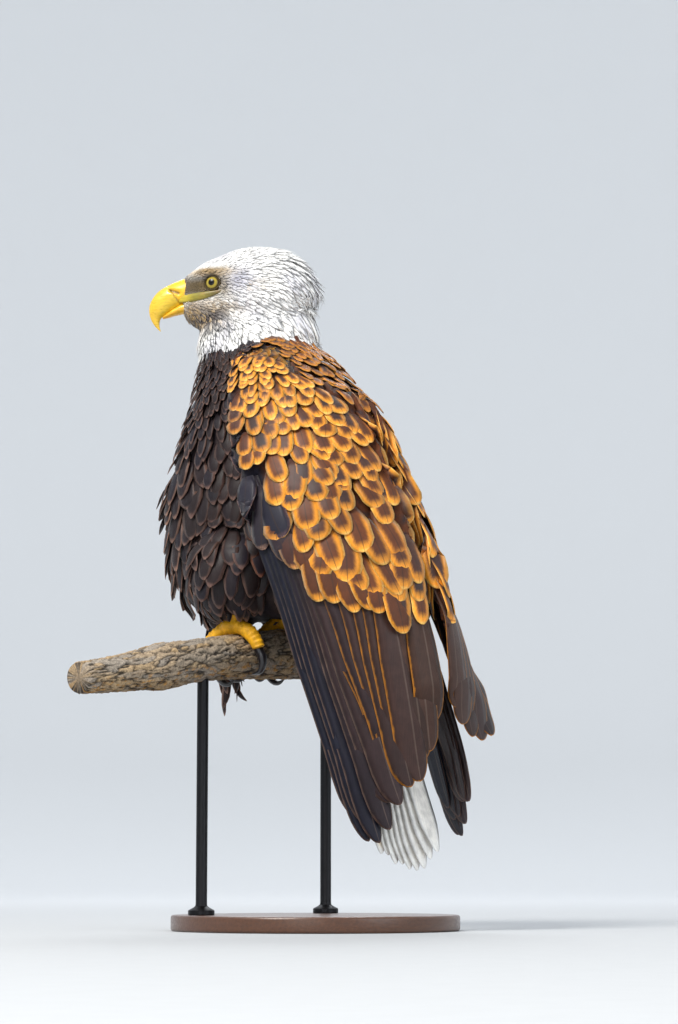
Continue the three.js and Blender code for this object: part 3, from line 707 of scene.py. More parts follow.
def coat_depth(points, labels):
    """How far the skin lies inside the outline: little on face and head, more on the body."""
    own = sizes()
    head = (labels == "head") | (labels == "neck")
    deep = np.where(head, own.coat_depth * 0.36, own.coat_depth)
    return deep + (own.face_depth - deep) * bare_face(points)


# ---------- markings, the same on skin and coat ----------
def mixed(first, second, share):
    return first + (second - first) * np.asarray(share)[:, None]


def patches(points, scale, shift=0.0):
    """Smooth variation from 0 to 1 over places."""
    moved = Vector((shift, shift, shift))
    return np.array([noise.noise(Vector(p) * scale + moved) for p in points.tolist()]) * 0.5 + 0.5


def tones(names):
    """The add-on's colours of these names, as arrays."""
    return (np.array(getattr(colours(), name)[:]) for name in names.split())


def screen(*values):
    """Colours as a monitor shows them, as linear arrays."""
    return (np.array(srgb(*value)) for value in values)


def spread(colour, count):
    return np.tile(colour, (count, 1))


# Marks on the white head, one over another: colour, its gain, share, ahead and above of the middle,
# reach ahead and above, power of the fall-off, and the fine noise that gates it (from, to), if any.
HEAD_MARKS = [
    # The two shade marks are painted shade, behind the eye and lower down the back of the cheek.
    ("shade", 0.8, 0.75, -24, 2, 17, 13, 2, None),
    ("shade", 0.8, 0.35, -34, -26, 26, 12, 2, (0.35, 0.65)),
    ("tan", 1.15, 0.8, -44, -2, 12, 5, 2, (0.3, 0.6)),
    ("tan", 1, 0.8, 4, -25, 32, 10, 2, (0.3, 0.55)),
    ("tan", 0.9, 0.85, 34, -33, 12, 15, 3, None),
    ("umber", 1.1, 0.97, 14, -40, 32, 15, 3, (0.42, 0.53)),
    ("tan", 1, 0.9, 18, -36, 30, 15, 3, (-0.54, -0.42)),
    ("olive", 0.75, 0.98, 26, -3, 25, 13, 4, None),
    ("olive", 1.25, 0.95, 0, -1, 15, 13, 3, None),
    ("tan", 1.1, 0.9, 10, 13.5, 28, 4.5, 3, None),
]
# Where the gold of a wing begins: heights, and distances back, in mm.
GOLD_LINE = ([348, 416, 446, 486, 548, 580, 657, 700], [150, 67, 33, 13, -25, -42, -66, -80])


def markings(points, labels):
    """Base colour, fringe colour, outer line and fringe width of the plumage at places, in linear values."""
    white, shade, tan, amber, gilt, chestnut, umber, dust, ink = tones(
        "white shade tan amber gilt chestnut umber dust ink"
    )
    mm = points / MM
    count = len(points)
    at = head_places(points)
    cloud = patches(points, 45)
    fine = patches(points, 160, 3.1)

    # Breast and thighs: dark, with paler edges towards the front of the breast.
    front = smooth(-mm[:, 1], 100, 170)
    base = mixed(spread(umber, count) * 0.62, umber * 0.2 + ink * 0.45, smooth(cloud, 0.35, 0.7) * 0.9)
    fringe = mixed(spread(dust, count) * 1.05, umber * 2.2 + ink * 0.3, 0.5 * (1 - front) + 0.3 * fine)
    line = spread(dust, count)
    width = np.full(count, 0.3)

    # Back and shoulders: amber fringes over chestnut, darker ahead of a line down the wing.
    wing = np.char.startswith(labels.astype(str), "wing")
    mantle = (labels == "trunk") & (mm[:, 1] > -52) & (mm[:, 2] > 440)
    ahead = mm[:, 1] - np.interp(mm[:, 2], *GOLD_LINE)
    gold = smooth(ahead + (fine - 0.5) * 16, -9, 7) * (wing | mantle)
    bright = mixed(spread(amber, count), chestnut * 1.5 + amber * 0.35, smooth(cloud, 0.55, 0.8) * 0.45)
    base = mixed(base, mixed(spread(chestnut, count), umber * 1.3, smooth(fine, 0.4, 0.75)), gold)
    # On the mantle the fringes turn chestnut: partly its own plainer feathers, partly painted shade where it
    # lies in shadow.
    fringe = mixed(mixed(fringe, bright, gold), chestnut * 1.5, 0.6 * mantle)
    line = mixed(line, mixed(spread(gilt, count), amber * 0.7, 0.8 * mantle), gold)
    small = smooth(mm[:, 2], 560, 640)
    width = width + (0.42 + 0.12 * cloud + 0.14 * small - width) * gold
    # Ahead of the line the wing turns ink-dark: the feathers' own dark brown, deepened by painted shade along
    # the leading edge, with ink's painted blue sheen.
    leading = (1 - gold) * wing
    base = mixed(base, mixed(spread(ink, count), umber * 0.8, 0.35 * cloud), leading)
    fringe = mixed(fringe, umber * 2.4 + ink, leading)
    line = mixed(line, dust * 1.5, leading)
    width = width + (0.2 - width) * leading

    # Tail coverts are white, with dusky bases.
    rump = labels == "tail_coverts"
    base[rump] = white * 0.92 + tan * 0.08
    fringe[rump] = line[rump] = white
    width[rump] = 0.3

    # Head and neck: white, with a tan brow, olive lores, painted grey shade behind the eye and over the
    # crown, and a dark and tan streaked chin.
    pale = (labels == "head") | (labels == "neck")

    def spot(ahead, above, reach, rise, power=2):
        out = np.abs((at[:, 0] - ahead) / reach) ** power
        return np.exp(-out - np.abs((at[:, 1] - above) / rise) ** power)

    # Painted shade: a little of the shade colour all over the white, more in soft clouds.
    head_base = mixed(spread(white, count), shade, 0.35 * smooth(cloud, 0.45, 0.75) + 0.06)
    for name, gain, share, *place, gate in HEAD_MARKS:
        share = share * spot(*place)
        if gate:
            share = share * smooth(math.copysign(1, gate[0]) * fine, *gate)
        head_base = mixed(head_base, next(tones(name)) * gain, share)
    base[pale] = head_base[pale]
    clean = np.clip(1 - spot(15, 0, 34, 22, 3) - spot(5, -36, 36, 14), 0, 1)
    fringe[pale] = mixed(head_base, white, 0.5 * clean)[pale]
    line[pale] = fringe[pale]
    width[pale] = 0.5
    return base, fringe, line, width


def rgba(colour, alpha=1.0):
    colour = np.asarray(colour)
    alpha = np.broadcast_to(np.asarray(alpha, float).reshape(-1, 1), (len(colour), 1))
    return np.concatenate([colour, alpha], axis=1)


# ---------- feathers ----------
POINTED = ((0, 0.42), (0.3, 0.9), (0.6, 1), (0.85, 0.62), (1, 0.06))
OVATE = (
    (0, 0.5), (0.2, 0.8), (0.4, 0.97), (0.58, 1), (0.74, 0.88), (0.86, 0.66), (0.95, 0.36), (1, 0.06),
)
ROUNDED = (
    (0, 0.5), (0.2, 0.8), (0.4, 0.97), (0.62, 1), (0.77, 0.93), (0.88, 0.76), (0.95, 0.53),
    (0.99, 0.28), (1, 0.12),
)
NARROW, BROAD = (-1, 0, 1), (-1, -0.55, 0, 0.55, 1)  # places across a vane
ROOT_SINK = 0.0004  # how far a root stands in the skin
SHAFT_RISE = 0.0002  # ridge along a small feather's middle


def along_surface(heading, normal):
    return unit(heading - normal * (heading * normal).sum(1, keepdims=True))


def small_feathers(name, ground, roots, labels, finish, rng, shape=POINTED, stiff=0.35, grow=1.0, jitter=0.16,
                   bright=0.12, over=None, size=None, rise_by=0.0, tints=None, arch=0.08, columns=NARROW,
                   ragged=0.0, tilt=0.0):
    """Closed low vanes laid over the ground from their roots, joined into one piece.

    over is another ground that they lie on; size, their own lengths and widths, and tints stand
    for the coat's; tilt lays one edge under the next feather of a row.
    """
    heading, length, width, lift = lie(roots)
    count = len(roots)
    on_head = smooth(roots[:, 2], *COAT_FADE)
    buried = 1 - 0.55 * on_head
    width = width * (1 + 0.35 * on_head)
    if size is not None:
        length, width = size
    length = length * grow * rng.uniform(0.82, 1.18, count)
    width = width * grow * rng.uniform(0.86, 1.14, count)
    lift = lift * rng.uniform(0.35, 1.6, count)
    heading = unit(heading + rng.normal(0, jitter, (count, 3)))
    depth = coat_depth(roots, labels)
    sink = depth if over else 0.0
    root_map = ground.nearest(roots)[2]
    skin, ground = ground, over or ground
    high = smooth(roots[:, 2], 0.63, 0.67)
    spot, normal, _ = ground.nearest(roots)
    heading = along_surface(heading, normal)
    start, first, first_normal = spot, heading, normal
    curl = rng.normal(0, 0.05, count) * length
    columns = np.array(columns, float)
    per_row, rows = len(columns), len(shape)
    rings = []
    walked = 0.0
    for along, wide in shape:
        if along > walked:
            ahead = spot + heading * ((along - walked) * length)[:, None]
            found, turned, _ = ground.nearest(ahead)
            flipped = (turned * normal).sum(1, keepdims=True) < 0.4
            spot, normal = np.where(flipped, ahead, found), np.where(flipped, normal, turned)
            heading = along_surface(heading, normal)
            walked = along
        straight = start + first * (along * length)[:, None]
        bed = 1 - buried * max(0.0, 1 - along * 1.5)
        rise = depth * bed + lift * along**2 - ROOT_SINK + rise_by - sink
        centre = spot * (1 - stiff * along) + straight * stiff * along + normal * rise[:, None]
        side = unit(np.cross(heading, normal))
        up = unit(normal * (1 - stiff * along) + first_normal * stiff * along)
        centre = centre + side * (curl * along**2)[:, None]
        if over and along > 0.1:
            below, out_of_skin, _ = skin.nearest(centre)
            height = ((centre - below) * out_of_skin).sum(1)
            centre = centre + out_of_skin * (high * np.clip(CLEAR_OF_SKIN - height, 0, 0.008))[:, None]
        frayed = 1 + rng.normal(0, ragged, (count, per_row)) * (np.abs(columns) == 1) * (0.2 < along < 1)
        reach = (width * wide / 2)[:, None] * columns * frayed
        bulge = 1 - columns**2 + tilt / arch / 2 * columns
        crown = (width * wide * arch)[:, None] * bulge + SHAFT_RISE * (columns == 0)
        rings.append(centre[:, None] + side[:, None] * reach[..., None] + up[:, None] * crown[..., None])
    points = np.stack(rings, axis=1).reshape(-1, 3)
    per = rows * per_row
    end = per - per_row
    caps = [(0, k + 1, k) for k in range(1, per_row - 1)]
    caps = np.array(caps + [(end, end + k, end + k + 1) for k in range(1, per_row - 1)])
    down = np.repeat([a for a, _ in shape], per_row)
    vane = np.tile(np.stack([np.tile((columns + 1) / 2, rows), down], axis=1), (count, 1))
    bake = np.repeat(root_map, per, axis=0) + (vane - 0.5) * PATCH
    base, fringe, line, fringe_width = tints or markings(roots, labels)
    light = rng.uniform(1 - bright, 1 + bright, (count, 1))
    fringe = rgba(fringe * light, fringe_width)
    tints = {"Base": rgba(base * light), "Fringe": fringe, "Line": rgba(line * light)}
    return finish_feathers(name, points, rows, per_row, caps, vane, bake, tints, finish)


def finish_feathers(name, points, rows, per_row, caps, vane, bake, tints, finish, replaces=()):
    """Joins feathers of equal build, closes root and tip, and finishes the piece."""
    per = rows * per_row
    first = np.arange(len(points) // per)[:, None, None] * per
    faces = (first + ring_faces(rows, per_row)[None]).reshape(-1, 4)
    caps = (first + caps[None]).reshape(-1, 3)
    triangles = np.concatenate([faces[:, [0, 1, 2]], faces[:, [0, 2, 3]], caps])
    tints = {title: np.repeat(values, per, axis=0) for title, values in tints.items()}
    obj = mesh_object(name, points, triangles, {VANE_MAP: vane, BAKE_MAP: bake}, tints)
    return finish_piece(obj, *finish, replaces)


def shared_ground():
    """The skin as the ground for feathers, made once."""
    if "ground" not in SHARED:
        SHARED["ground"] = Ground(bpy.data.objects["eagle_skin"].data)
        SHARED["labels"] = Labels()
    return SHARED["ground"], SHARED["labels"]


# ---------- skin ----------
def capsule_chain(name, stations, flip):
    """A tapered roll along head places, given with their radii in mm."""
    path = [head_point(a, b, c * flip) for (a, b, c), _ in stations]
    radii = [r * MM for _, r in stations]
    return loft(name, tube_rings(path, [radii[0] * 0.3, *radii, radii[-1] * 0.3], 12, 16))


def build_skin():
    rolls = [capsule_chain("brow", BROW, flip) for flip in (1, -1)]
    skin = joined([merged_copy(FLESH, "eagle_skin"), *rolls])
    apply_modifier(skin, "REMESH", mode="VOXEL", voxel_size=sizes().skin_voxel)
    apply_modifier(skin, "SMOOTH", factor=0.5, iterations=9)
    mesh = skin.data
    nape = skin.vertex_groups.new(name="nape")
    for vertex in mesh.vertices:
        low = (vertex.co.z - NAPE["height"]) / NAPE["reach"]
        behind = (np.array([vertex.co.x, vertex.co.y]) / MM - PIVOT) @ FORWARD[:2] < NAPE["ahead"]
        if abs(low) < 2 and behind:
            nape.add([vertex.index], math.exp(-low * low), "REPLACE")
    apply_modifier(skin, "SMOOTH", factor=0.6, iterations=90, vertex_group="nape")
    points = read(mesh.vertices, "co")
    labels = Labels().of(points)
    points = points - read(mesh.vertices, "normal") * coat_depth(points, labels)[:, None]
    mesh.vertices.foreach_set("co", points.ravel().astype(np.float32))
    apply_modifier(skin, "SMOOTH", factor=0.5, iterations=2)
    paint(mesh, "Base", rgba(markings(read(mesh.vertices, "co"), labels)[0]))
    lone(skin)
    bpy.ops.object.mode_set(mode="EDIT")
    bpy.ops.mesh.select_all(action="SELECT")
    bpy.ops.uv.smart_project(angle_limit=math.radians(70), island_margin=0.004)
    bpy.ops.object.mode_set(mode="OBJECT")
    mesh.uv_layers[0].name = BAKE_MAP
    downy = skin_material("down-covered skin", 0.75, 0.0006, 900, 0.7, 1.25)
    finish_piece(skin, downy, "dark_plumage", FLESH)


# ---------- contour feathers ----------
def coat_spacing(points):
    """How far apart roots stand: closer on head and neck, where the coat is finest."""
    _, length, width, _ = lie(points)
    fine = 1 - 0.28 * smooth(points[:, 2], *COAT_FADE)
    return np.sqrt(length * 0.34 * width) * sizes().overlap * 1.25 * fine


# How the coat's broad and fine feathers vary, and their columns and arch.
BROAD_VANES = {"jitter": 0.16, "bright": 0.2, "columns": BROAD, "ragged": 0.06, "arch": 0.08}
FINE_VANES = {"jitter": 0.1, "bright": 0.07, "columns": NARROW, "ragged": 0.0, "arch": 0.05}
# Regions of the coat: name, finish, outline, stiffness, and which labels and places (distances back
# and heights in metres) it covers.
REGIONS = [
    ("head_feathers", "white", POINTED, 0.25, lambda label, y, z: label == "head"),
    ("neck_feathers", "white", POINTED, 0.35, lambda label, y, z: label == "neck"),
    ("breast_feathers", "dark", OVATE, 0.35,
     lambda label, y, z: (label == "trunk") & (y < -0.05) & (z > 0.45)),
    ("belly_feathers", "dark", OVATE, 0.35,
     lambda label, y, z: (label == "trunk") & (y < 0.06) & (z <= 0.45)),
    ("back_feathers", "gold", ROUNDED, 0.2,
     lambda label, y, z: (label == "trunk") & (y >= np.where(z > 0.45, -0.05, 0.06))),
    ("thigh_feathers", "dark", OVATE, 0.3,
     lambda label, y, z: (label == "leg_left") | (label == "leg_right")),
    ("tail_covert_feathers", "white", ROUNDED, 0.3, lambda label, y, z: label == "tail_coverts"),
]
# Finishes of the plumage: roughness, sheen, shaft colour and share, outer line, aspect, shine.
PLUMAGE = {
    "white": ("white", 0.62, 0.15, (0.75, 0.73, 0.7), 0.05, 0.2, 3),
    "dark": ("dark", 0.46, 0.03, (0.02, 0.016, 0.016), 0.4, 0.6, 1.4, 0.26),
    "gold": ("golden", 0.5, 0.1, (0.03, 0.014, 0.008), 0.6, 0.7, 1.2),
    "flight": ("flight", 0.38, 0.03, (0.2, 0.14, 0.11), 0.3, 0.5, 7, 0.28),
}


def plumage(key):
    """A finish of the plumage, made once, and its slot."""
    word, *settings = PLUMAGE[key]
    title = "flight feathers" if key == "flight" else f"{word} plumage"
    if title not in SHARED:
        SHARED[title] = feather_material(title, *settings)
    return SHARED[title], title.replace(" ", "_")


def over_toes(points):
    """True where a feather would hang across the toes."""
    heading, length, _, _ = lie(points)
    tips = points + heading * length[:, None]
    beside = (points[:, 1] > TOES_CLEAR["front"]) & (points[:, 1] < TOES_CLEAR["back"])
    hanging = np.abs(tips[:, 2] - TOES_CLEAR["tip"]) < TOES_CLEAR["reach"]
    return (points[:, 2] > TOES_CLEAR["top"]) & hanging & beside


def build_contour():
    ground, names = shared_ground()
    share = 1.0
    for order, (name, key, shape, stiff, test) in enumerate(REGIONS):
        rng = np.random.default_rng(sizes().seed + order)

        def keep(points, test=test):
            return test(names.of(points), points[:, 1], points[:, 2]) * (1.0 - over_toes(points))

        roots = ground.scatter(lambda p: coat_spacing(p) * share, keep, rng)
        vanes = BROAD_VANES if shape is not POINTED else FINE_VANES
        small_feathers(name, ground, roots, names.of(roots), plumage(key), rng, shape, stiff, **vanes)


# ---------- wing coverts ----------
def wing_ground(side):
    """A smooth ground over a whole folded wing, from its coverts down over its flight feathers."""
    parts = [f"wing_{side}_{part}" for part in ("coverts", "secondaries", "primaries")]
    obj = merged_copy(parts, f"wing_ground_{side}")
    apply_modifier(obj, "REMESH", mode="VOXEL", voxel_size=WING_VOXEL)
    apply_modifier(obj, "SMOOTH", factor=0.5, iterations=14)
    ground = Ground(obj.data)
    bpy.data.objects.remove(obj)
    return ground


def wing_surface(ground, flip, y, z):
    """Places on a wing's outer face at distances back and heights in mm."""
    far, inward = 0.3, Vector((-flip, 0, 0))
    hits = (ground.tree.ray_cast(Vector((far * flip, a * MM, b * MM)), inward, far)[0] for a, b in zip(y, z))
    return np.array([h for h in hits if h is not None])


def great_covert_tints(count):
    """Ink-dark and pale-edged at the wing's front, with ink's painted sheen and shade; chestnut with golden
    fringes behind.
    """
    ink, chestnut, umber, amber, gilt, dust = tones("ink chestnut umber amber gilt dust")
    back = smooth(np.arange(count), 1.5, 4.5)
    base = mixed(spread(ink * 0.6 + umber * 0.4, count), chestnut * 0.9, back)
    fringe = mixed(spread(dust, count), amber, back)
    line = mixed(spread(dust * 1.4, count), gilt, back)
    return base, fringe, line, 0.1 + 0.14 * back


def over_great_coverts(points):
    """How far places stand over the line of the great coverts' roots."""
    (y, z), (back, down) = (np.array(GREAT_COVERTS[end]) * MM for end in ("first", "last"))
    return points[:, 2] - np.interp(points[:, 1], [y, back], [z, down])


def build_coverts():
    ground, names = shared_ground()
    finish = plumage("gold")
    for order, (side, flip) in enumerate(SIDES.items()):
        rng = np.random.default_rng(sizes().seed + 40 + order)
        wing = wing_ground(side)

        def keep(points, side=side):
            return (names.of(points) == f"wing_{side}_coverts") * (over_great_coverts(points) > -0.004)

        def spacing(points):
            return coat_spacing(points) * (1.02 - 0.24 * smooth(points[:, 2], 0.6, 0.66))

        roots = ground.scatter(spacing, keep, rng)
        labels = names.of(roots)
        low = 1 - smooth(over_great_coverts(roots), 0.04, 0.1)
        small_feathers(
            f"covert_feathers_{side}", ground, roots, labels, finish, rng, ROUNDED, 0.12,
            grow=1.15, jitter=0.13, bright=0.2, over=wing, columns=BROAD, ragged=0.035, rise_by=0.0052 * low,
        )
        row = GREAT_COVERTS
        share = np.linspace(0, 1, row["count"])
        first, last = np.array(row["first"], float), np.array(row["last"], float)
        line = first + (last - first) * share[:, None]
        roots = wing_surface(wing, flip, line[:, 0], line[:, 1])
        share = np.linspace(0, 1, len(roots))
        size = [(a + (b - a) * share) * MM for a, b in (row["length"], row["width"])]
        small_feathers(
            f"great_coverts_{side}", ground, roots, names.of(roots), finish, rng, ROUNDED, 0.05,
            jitter=0.02, bright=0.12, over=wing, size=size, rise_by=0.0036 + 0.0026 * share,
            tints=great_covert_tints(len(roots)), columns=BROAD, ragged=0.02, tilt=0.14 * flip,
        )


# ---------- long feathers ----------
def feather_rows(rows):
    """Shares along a long feather, drawn together towards its tip."""
    return 1 - (1 - np.linspace(0, 1, rows)) ** 1.7


VANE_THICK = 0.00022  # half the thickness of a long feather's vane


def long_feathers(name, lines, ups, halves, balance, tints, finish, replaces, camber=0.1, round_tip=0.09):
    """Closed long vanes with a shaft ridge: lines (count, rows, 3), ups alike, half widths by feather."""
    lines, ups = np.asarray(lines), np.asarray(ups)
    count, rows = lines.shape[:2]
    per = rows * LONG_COLUMNS
    along = feather_rows(rows)
    taper = np.interp(along, [0, 0.12, 0.5, 0.86, 1], [0.35, 0.72, 1, 0.94, 0.7])
    rounding = np.clip((1 - along) / round_tip, 0, 1)
    taper = taper * np.sqrt(rounding * (2 - rounding))
    taper = np.maximum(taper, 0.02)
    heading = unit(np.gradient(lines, axis=1))
    side = unit(np.cross(heading, ups))
    up = np.cross(side, heading)
    columns = np.array([-1, -0.55, 0, 0.55, 1, 0.55, 0, -0.55])
    thick = np.array([0, 1, 1.7, 1, 0, -1, -1.2, -1]) * VANE_THICK
    reach = np.where(columns < 0, balance, 2 - balance) * columns
    half = np.asarray(halves)[:, None, None, None] * taper[None, :, None, None]
    arch = camber * (1 - columns**2)[None, None, :, None] * half
    rings = (
        lines[:, :, None] + side[:, :, None] * reach[None, None, :, None] * half
        + up[:, :, None] * (arch + thick[None, None, :, None])
    )
    cap = np.array([[0, 7, 1], [1, 7, 6], [1, 6, 2], [2, 6, 5], [2, 5, 3], [3, 5, 4]])
    caps = np.concatenate([cap, cap[:, ::-1] + per - LONG_COLUMNS])
    vane = np.stack([np.tile((columns + 1) / 2, rows), np.repeat(along, LONG_COLUMNS)], axis=1)
    vane = np.tile(vane, (count, 1))
    strip = np.repeat(np.arange(count), per) + 0.06 + 0.88 * vane[:, 0]
    bake = np.stack([strip / count, 0.02 + 0.96 * vane[:, 1]], axis=1)
    points = rings.reshape(-1, 3)
    return finish_feathers(name, points, rows, LONG_COLUMNS, caps, vane, bake, tints, finish, replaces)


def fan_line(spec, flip, q):
    """Root and tip, in metres, of the feather a share q through a fan."""
    bulge = math.sin(math.pi * q)
    root, tip = (np.array(spec[end], float) for end in ("root", "tip"))
    root, tip = (ends[0] * (1 - q) + ends[1] * q for ends in (root, tip))
    root = root + np.array([0.64, 0.77, 0]) * spec["bow"] * bulge
    tip[2] -= spec["drop"] * bulge
    root[0] *= flip
    tip[0] *= flip
    return root * MM, tip * MM


def build_flight():
    ink, sepia, amber, dust, chestnut = tones("ink sepia amber dust chestnut")
    t = feather_rows(FEATHER_ROWS)
    for order, ((side, group), spec) in enumerate(FLIGHT.items()):
        rng = np.random.default_rng(sizes().seed + 60 + order)
        flip = SIDES[side]
        tree, _ = node_tree([f"wing_{side}_{part}" for part in ("coverts", "primaries", "secondaries")])
        outside = unit(np.array(spec["facing"], float) * (flip, 1, 1))
        lines, ups, halves, base, fringe, line = [], [], [], [], [], []
        for i in range(spec["count"]):
            q = i / (spec["count"] - 1)
            root, tip = fan_line(spec, flip, q)
            tip = tip + (root - tip) * (0.0 if i % 2 else rng.uniform(0.05, 0.12))
            root = root + (root - tip) * spec["hidden"]
            straight = root + (tip - root) * t[:, None]
            found, gaps, facing = [], [], []
            for k, p in enumerate(straight.tolist()):
                start = Vector(p) + Vector(outside) * 0.09
                place, normal, _, _ = tree.ray_cast(start, -Vector(outside), 0.13)
                if place is not None:
                    found.append(t[k])
                    gaps.append((place - Vector(p)).dot(Vector(outside)))
                    facing.append(np.array(normal))
            curve = np.polyfit(found, gaps, 3) if len(found) > 8 else [0.0]
            known = np.clip(t, min(found, default=0), max(found, default=1))
            reach = np.clip(np.polyval(curve, known), -0.03, 0.05)
            rise = reach * (1 - smooth(t, 0.75, 1)) + 0.0006 * i - 0.002 - 0.009 * (1 - smooth(t, 0.08, 0.36))
            lines.append(straight + outside * rise[:, None])
            near = unit(np.mean(facing, axis=0)) if facing else outside
            share = smooth(t, 0.2, 1)[:, None]
            ups.append(unit(near * (1 - share) + outside * share))
            halves.append((spec["half"][0] * (1 - q) + spec["half"][1] * q) * MM * rng.uniform(0.92, 1.05))
            brown = 0.35 + 0.65 * q if group == "secondaries" else smooth(q, 0.3, 1) * 0.5
            # The darker flight feathers take ink's painted blue sheen.
            body = mixed((ink * 0.8)[None], (sepia * 0.8)[None], [brown * rng.uniform(0.8, 1.0)])[0]
            base.append(body * rng.uniform(0.8, 1.2))
            gilded = amber * 0.5 + chestnut * 0.3 if group == "secondaries" else dust * 0.45 + body * 0.55
            fringe.append(gilded)
            line.append(dust * 1.1 if group == "primaries" else amber * 0.65 + chestnut * 0.2)
        tints = {"Base": rgba(base), "Fringe": rgba(fringe, 0.08), "Line": rgba(line)}
        balance = 0.75 if side == "left" else 1.25
        node = f"wing_{side}_{group}"
        long_feathers(f"{group}_{side}", lines, ups, halves, balance, tints, plumage("flight"), [node])


def build_tail():
    white, gilt = tones("white gilt")
    rng = np.random.default_rng(sizes().seed + 80)
    facing = unit(np.array(TAIL_FAN["facing"], float))
    t = feather_rows(FEATHER_ROWS)
    lines, base = [], []
    for i in range(TAIL["count"]):
        q = 1 - 2 * i / (TAIL["count"] - 1)
        root = np.array([TAIL["root_spread"] * q, -0.12 * TAIL_FAN["twist"] * q, 0]) + TAIL["root"]
        tip = np.array(TAIL["tip"], float) + np.array([
            TAIL_FAN["across"] * q, TAIL_FAN["twist"] * q, TAIL_FAN["rise"] * q * q + TAIL_FAN["lean"] * q,
        ])
        tip = tip + (root - tip) * rng.uniform(0, 0.05)
        layer = -0.25 * abs(q) * TAIL["count"] / 2
        bow = -4 * np.sin(np.pi * t)
        lines.append((root + (tip - root) * t[:, None] + facing * (bow + layer)[:, None]) * MM)
        yellow = 0.75 if i == 3 else rng.uniform(0, 0.12)
        base.append(mixed(white[None], (gilt * 0.5 + white * 0.5)[None], [yellow])[0])
    ups = np.tile(facing, (TAIL["count"], len(t), 1))
    pale = spread(white, len(base))
    tints = {"Base": rgba(base), "Fringe": rgba(pale, 0.3), "Line": rgba(pale)}
    halves = np.full(TAIL["count"], TAIL["half"] * MM * 0.9)
    long_feathers("tail_feathers", lines, ups, halves, 1.0, tints, plumage("white"), ["tail"], 0.04, 0.2)


# ---------- eyes ----------
def eye_material():
    material, tree, shader, _ = new_material("eye")
    polar = add_node(tree, "ShaderNodeUVMap", uv_map=VANE_MAP).outputs[0]
    parts = add_node(tree, "ShaderNodeSeparateXYZ", {0: polar}).outputs
    reach = calc(tree, "MULTIPLY", parts[0], EYE["radius"])
    rays = speckle(tree, stretched(tree, polar, (2.0, 26.0, 1.0)), 3.0, 4.0, 0.7)
    straw = blend(tree, rays, srgb(0.44, 0.37, 0.10), srgb(0.76, 0.68, 0.28))
    ring = ease(tree, reach, IRIS["radius"] * 0.72, IRIS["radius"] * 0.98)
    iris = blend(tree, ring, straw, srgb(0.22, 0.16, 0.06))
    inner = ease(tree, reach, IRIS["pupil"] * 0.98, IRIS["pupil"] * 1.3, 1.0, 0.0)
    iris = blend(tree, calc(tree, "MULTIPLY", inner, 0.45), iris, srgb(0.35, 0.28, 0.1))
    pupil = ease(tree, reach, IRIS["pupil"] * 0.92, IRIS["pupil"] * 1.04, 1.0, 0.0)
    seen = blend(tree, pupil, iris, (0.003, 0.003, 0.004))
    white_of_eye = ease(tree, reach, IRIS["radius"] * 0.98, IRIS["radius"] * 1.05)
    feed(tree, shader, {
        "Base Color": blend(tree, white_of_eye, seen, srgb(0.08, 0.06, 0.05)), "Roughness": 0.3,
        "Specular IOR Level": 0.12, "Coat Weight": 0.35, "Coat Roughness": 0.02,
    })
    return material


def lid_material():
    material, tree, shader, place = new_material("eyelid")
    grain = speckle(tree, place, 700.0, 4.0)
    skin = blend(tree, grain, srgb(0.12, 0.09, 0.04), srgb(0.36, 0.29, 0.11))
    feed(tree, shader, {"Base Color": skin, "Roughness": 0.5})
    bump(tree, shader, grain, 0.6, 0.0004)
    return material


def eye_axis(flip):
    turn = math.radians(EYE["turn"])
    return unit(LEFTWARD * flip * math.cos(turn) + FORWARD * math.sin(turn))


def build_eyes():
    material, lids = eye_material(), lid_material()
    for side, flip in SIDES.items():
        centre = head_point(0, 0, EYE["side"] * flip)
        axis = eye_axis(flip)
        bpy.ops.object.select_all(action="DESELECT")
        radius = EYE["radius"] * MM
        bpy.ops.mesh.primitive_uv_sphere_add(segments=48, ring_count=32, radius=radius)
        ball = bpy.context.object
        ball.name = ball.data.name = f"eyeball_{side}"
        turn = Vector((0, 0, 1)).rotation_difference(Vector(axis)).to_matrix().to_4x4()
        ball.data.transform(Matrix.Translation(Vector(centre)) @ turn)
        mesh = ball.data
        while mesh.uv_layers:
            mesh.uv_layers.remove(mesh.uv_layers[0])
        layer = mesh.uv_layers.new(name=VANE_MAP)
        across = Vector(axis).orthogonal().normalized()
        upward = Vector(axis).cross(across)
        for loop in mesh.loops:
            ray = mesh.vertices[loop.vertex_index].co - Vector(centre)
            depth = ray.dot(Vector(axis))
            sideways = (ray - Vector(axis) * depth).length / radius
            angle = math.atan2(ray.dot(across), ray.dot(upward)) / (2 * math.pi) + 0.5
            layer.data[loop.index].uv = (sideways if depth > 0 else 2 - sideways, angle)
        finish_piece(ball, material, "eye", [f"eye_{side}"])
        build_lids(side, flip, centre, axis, lids)


LID_STEPS = 56
# Outline of a lid's section: share of the opening, and mm off the eyeball.
LID_PROFILE = [
    (1.0, 0.2), (0.9, 0.5), (0.94, 1.1), (1.06, 1.3), (1.22, 0.7), (1.34, -1.6), (1.12, -2.2), (1.0, -0.8),
]


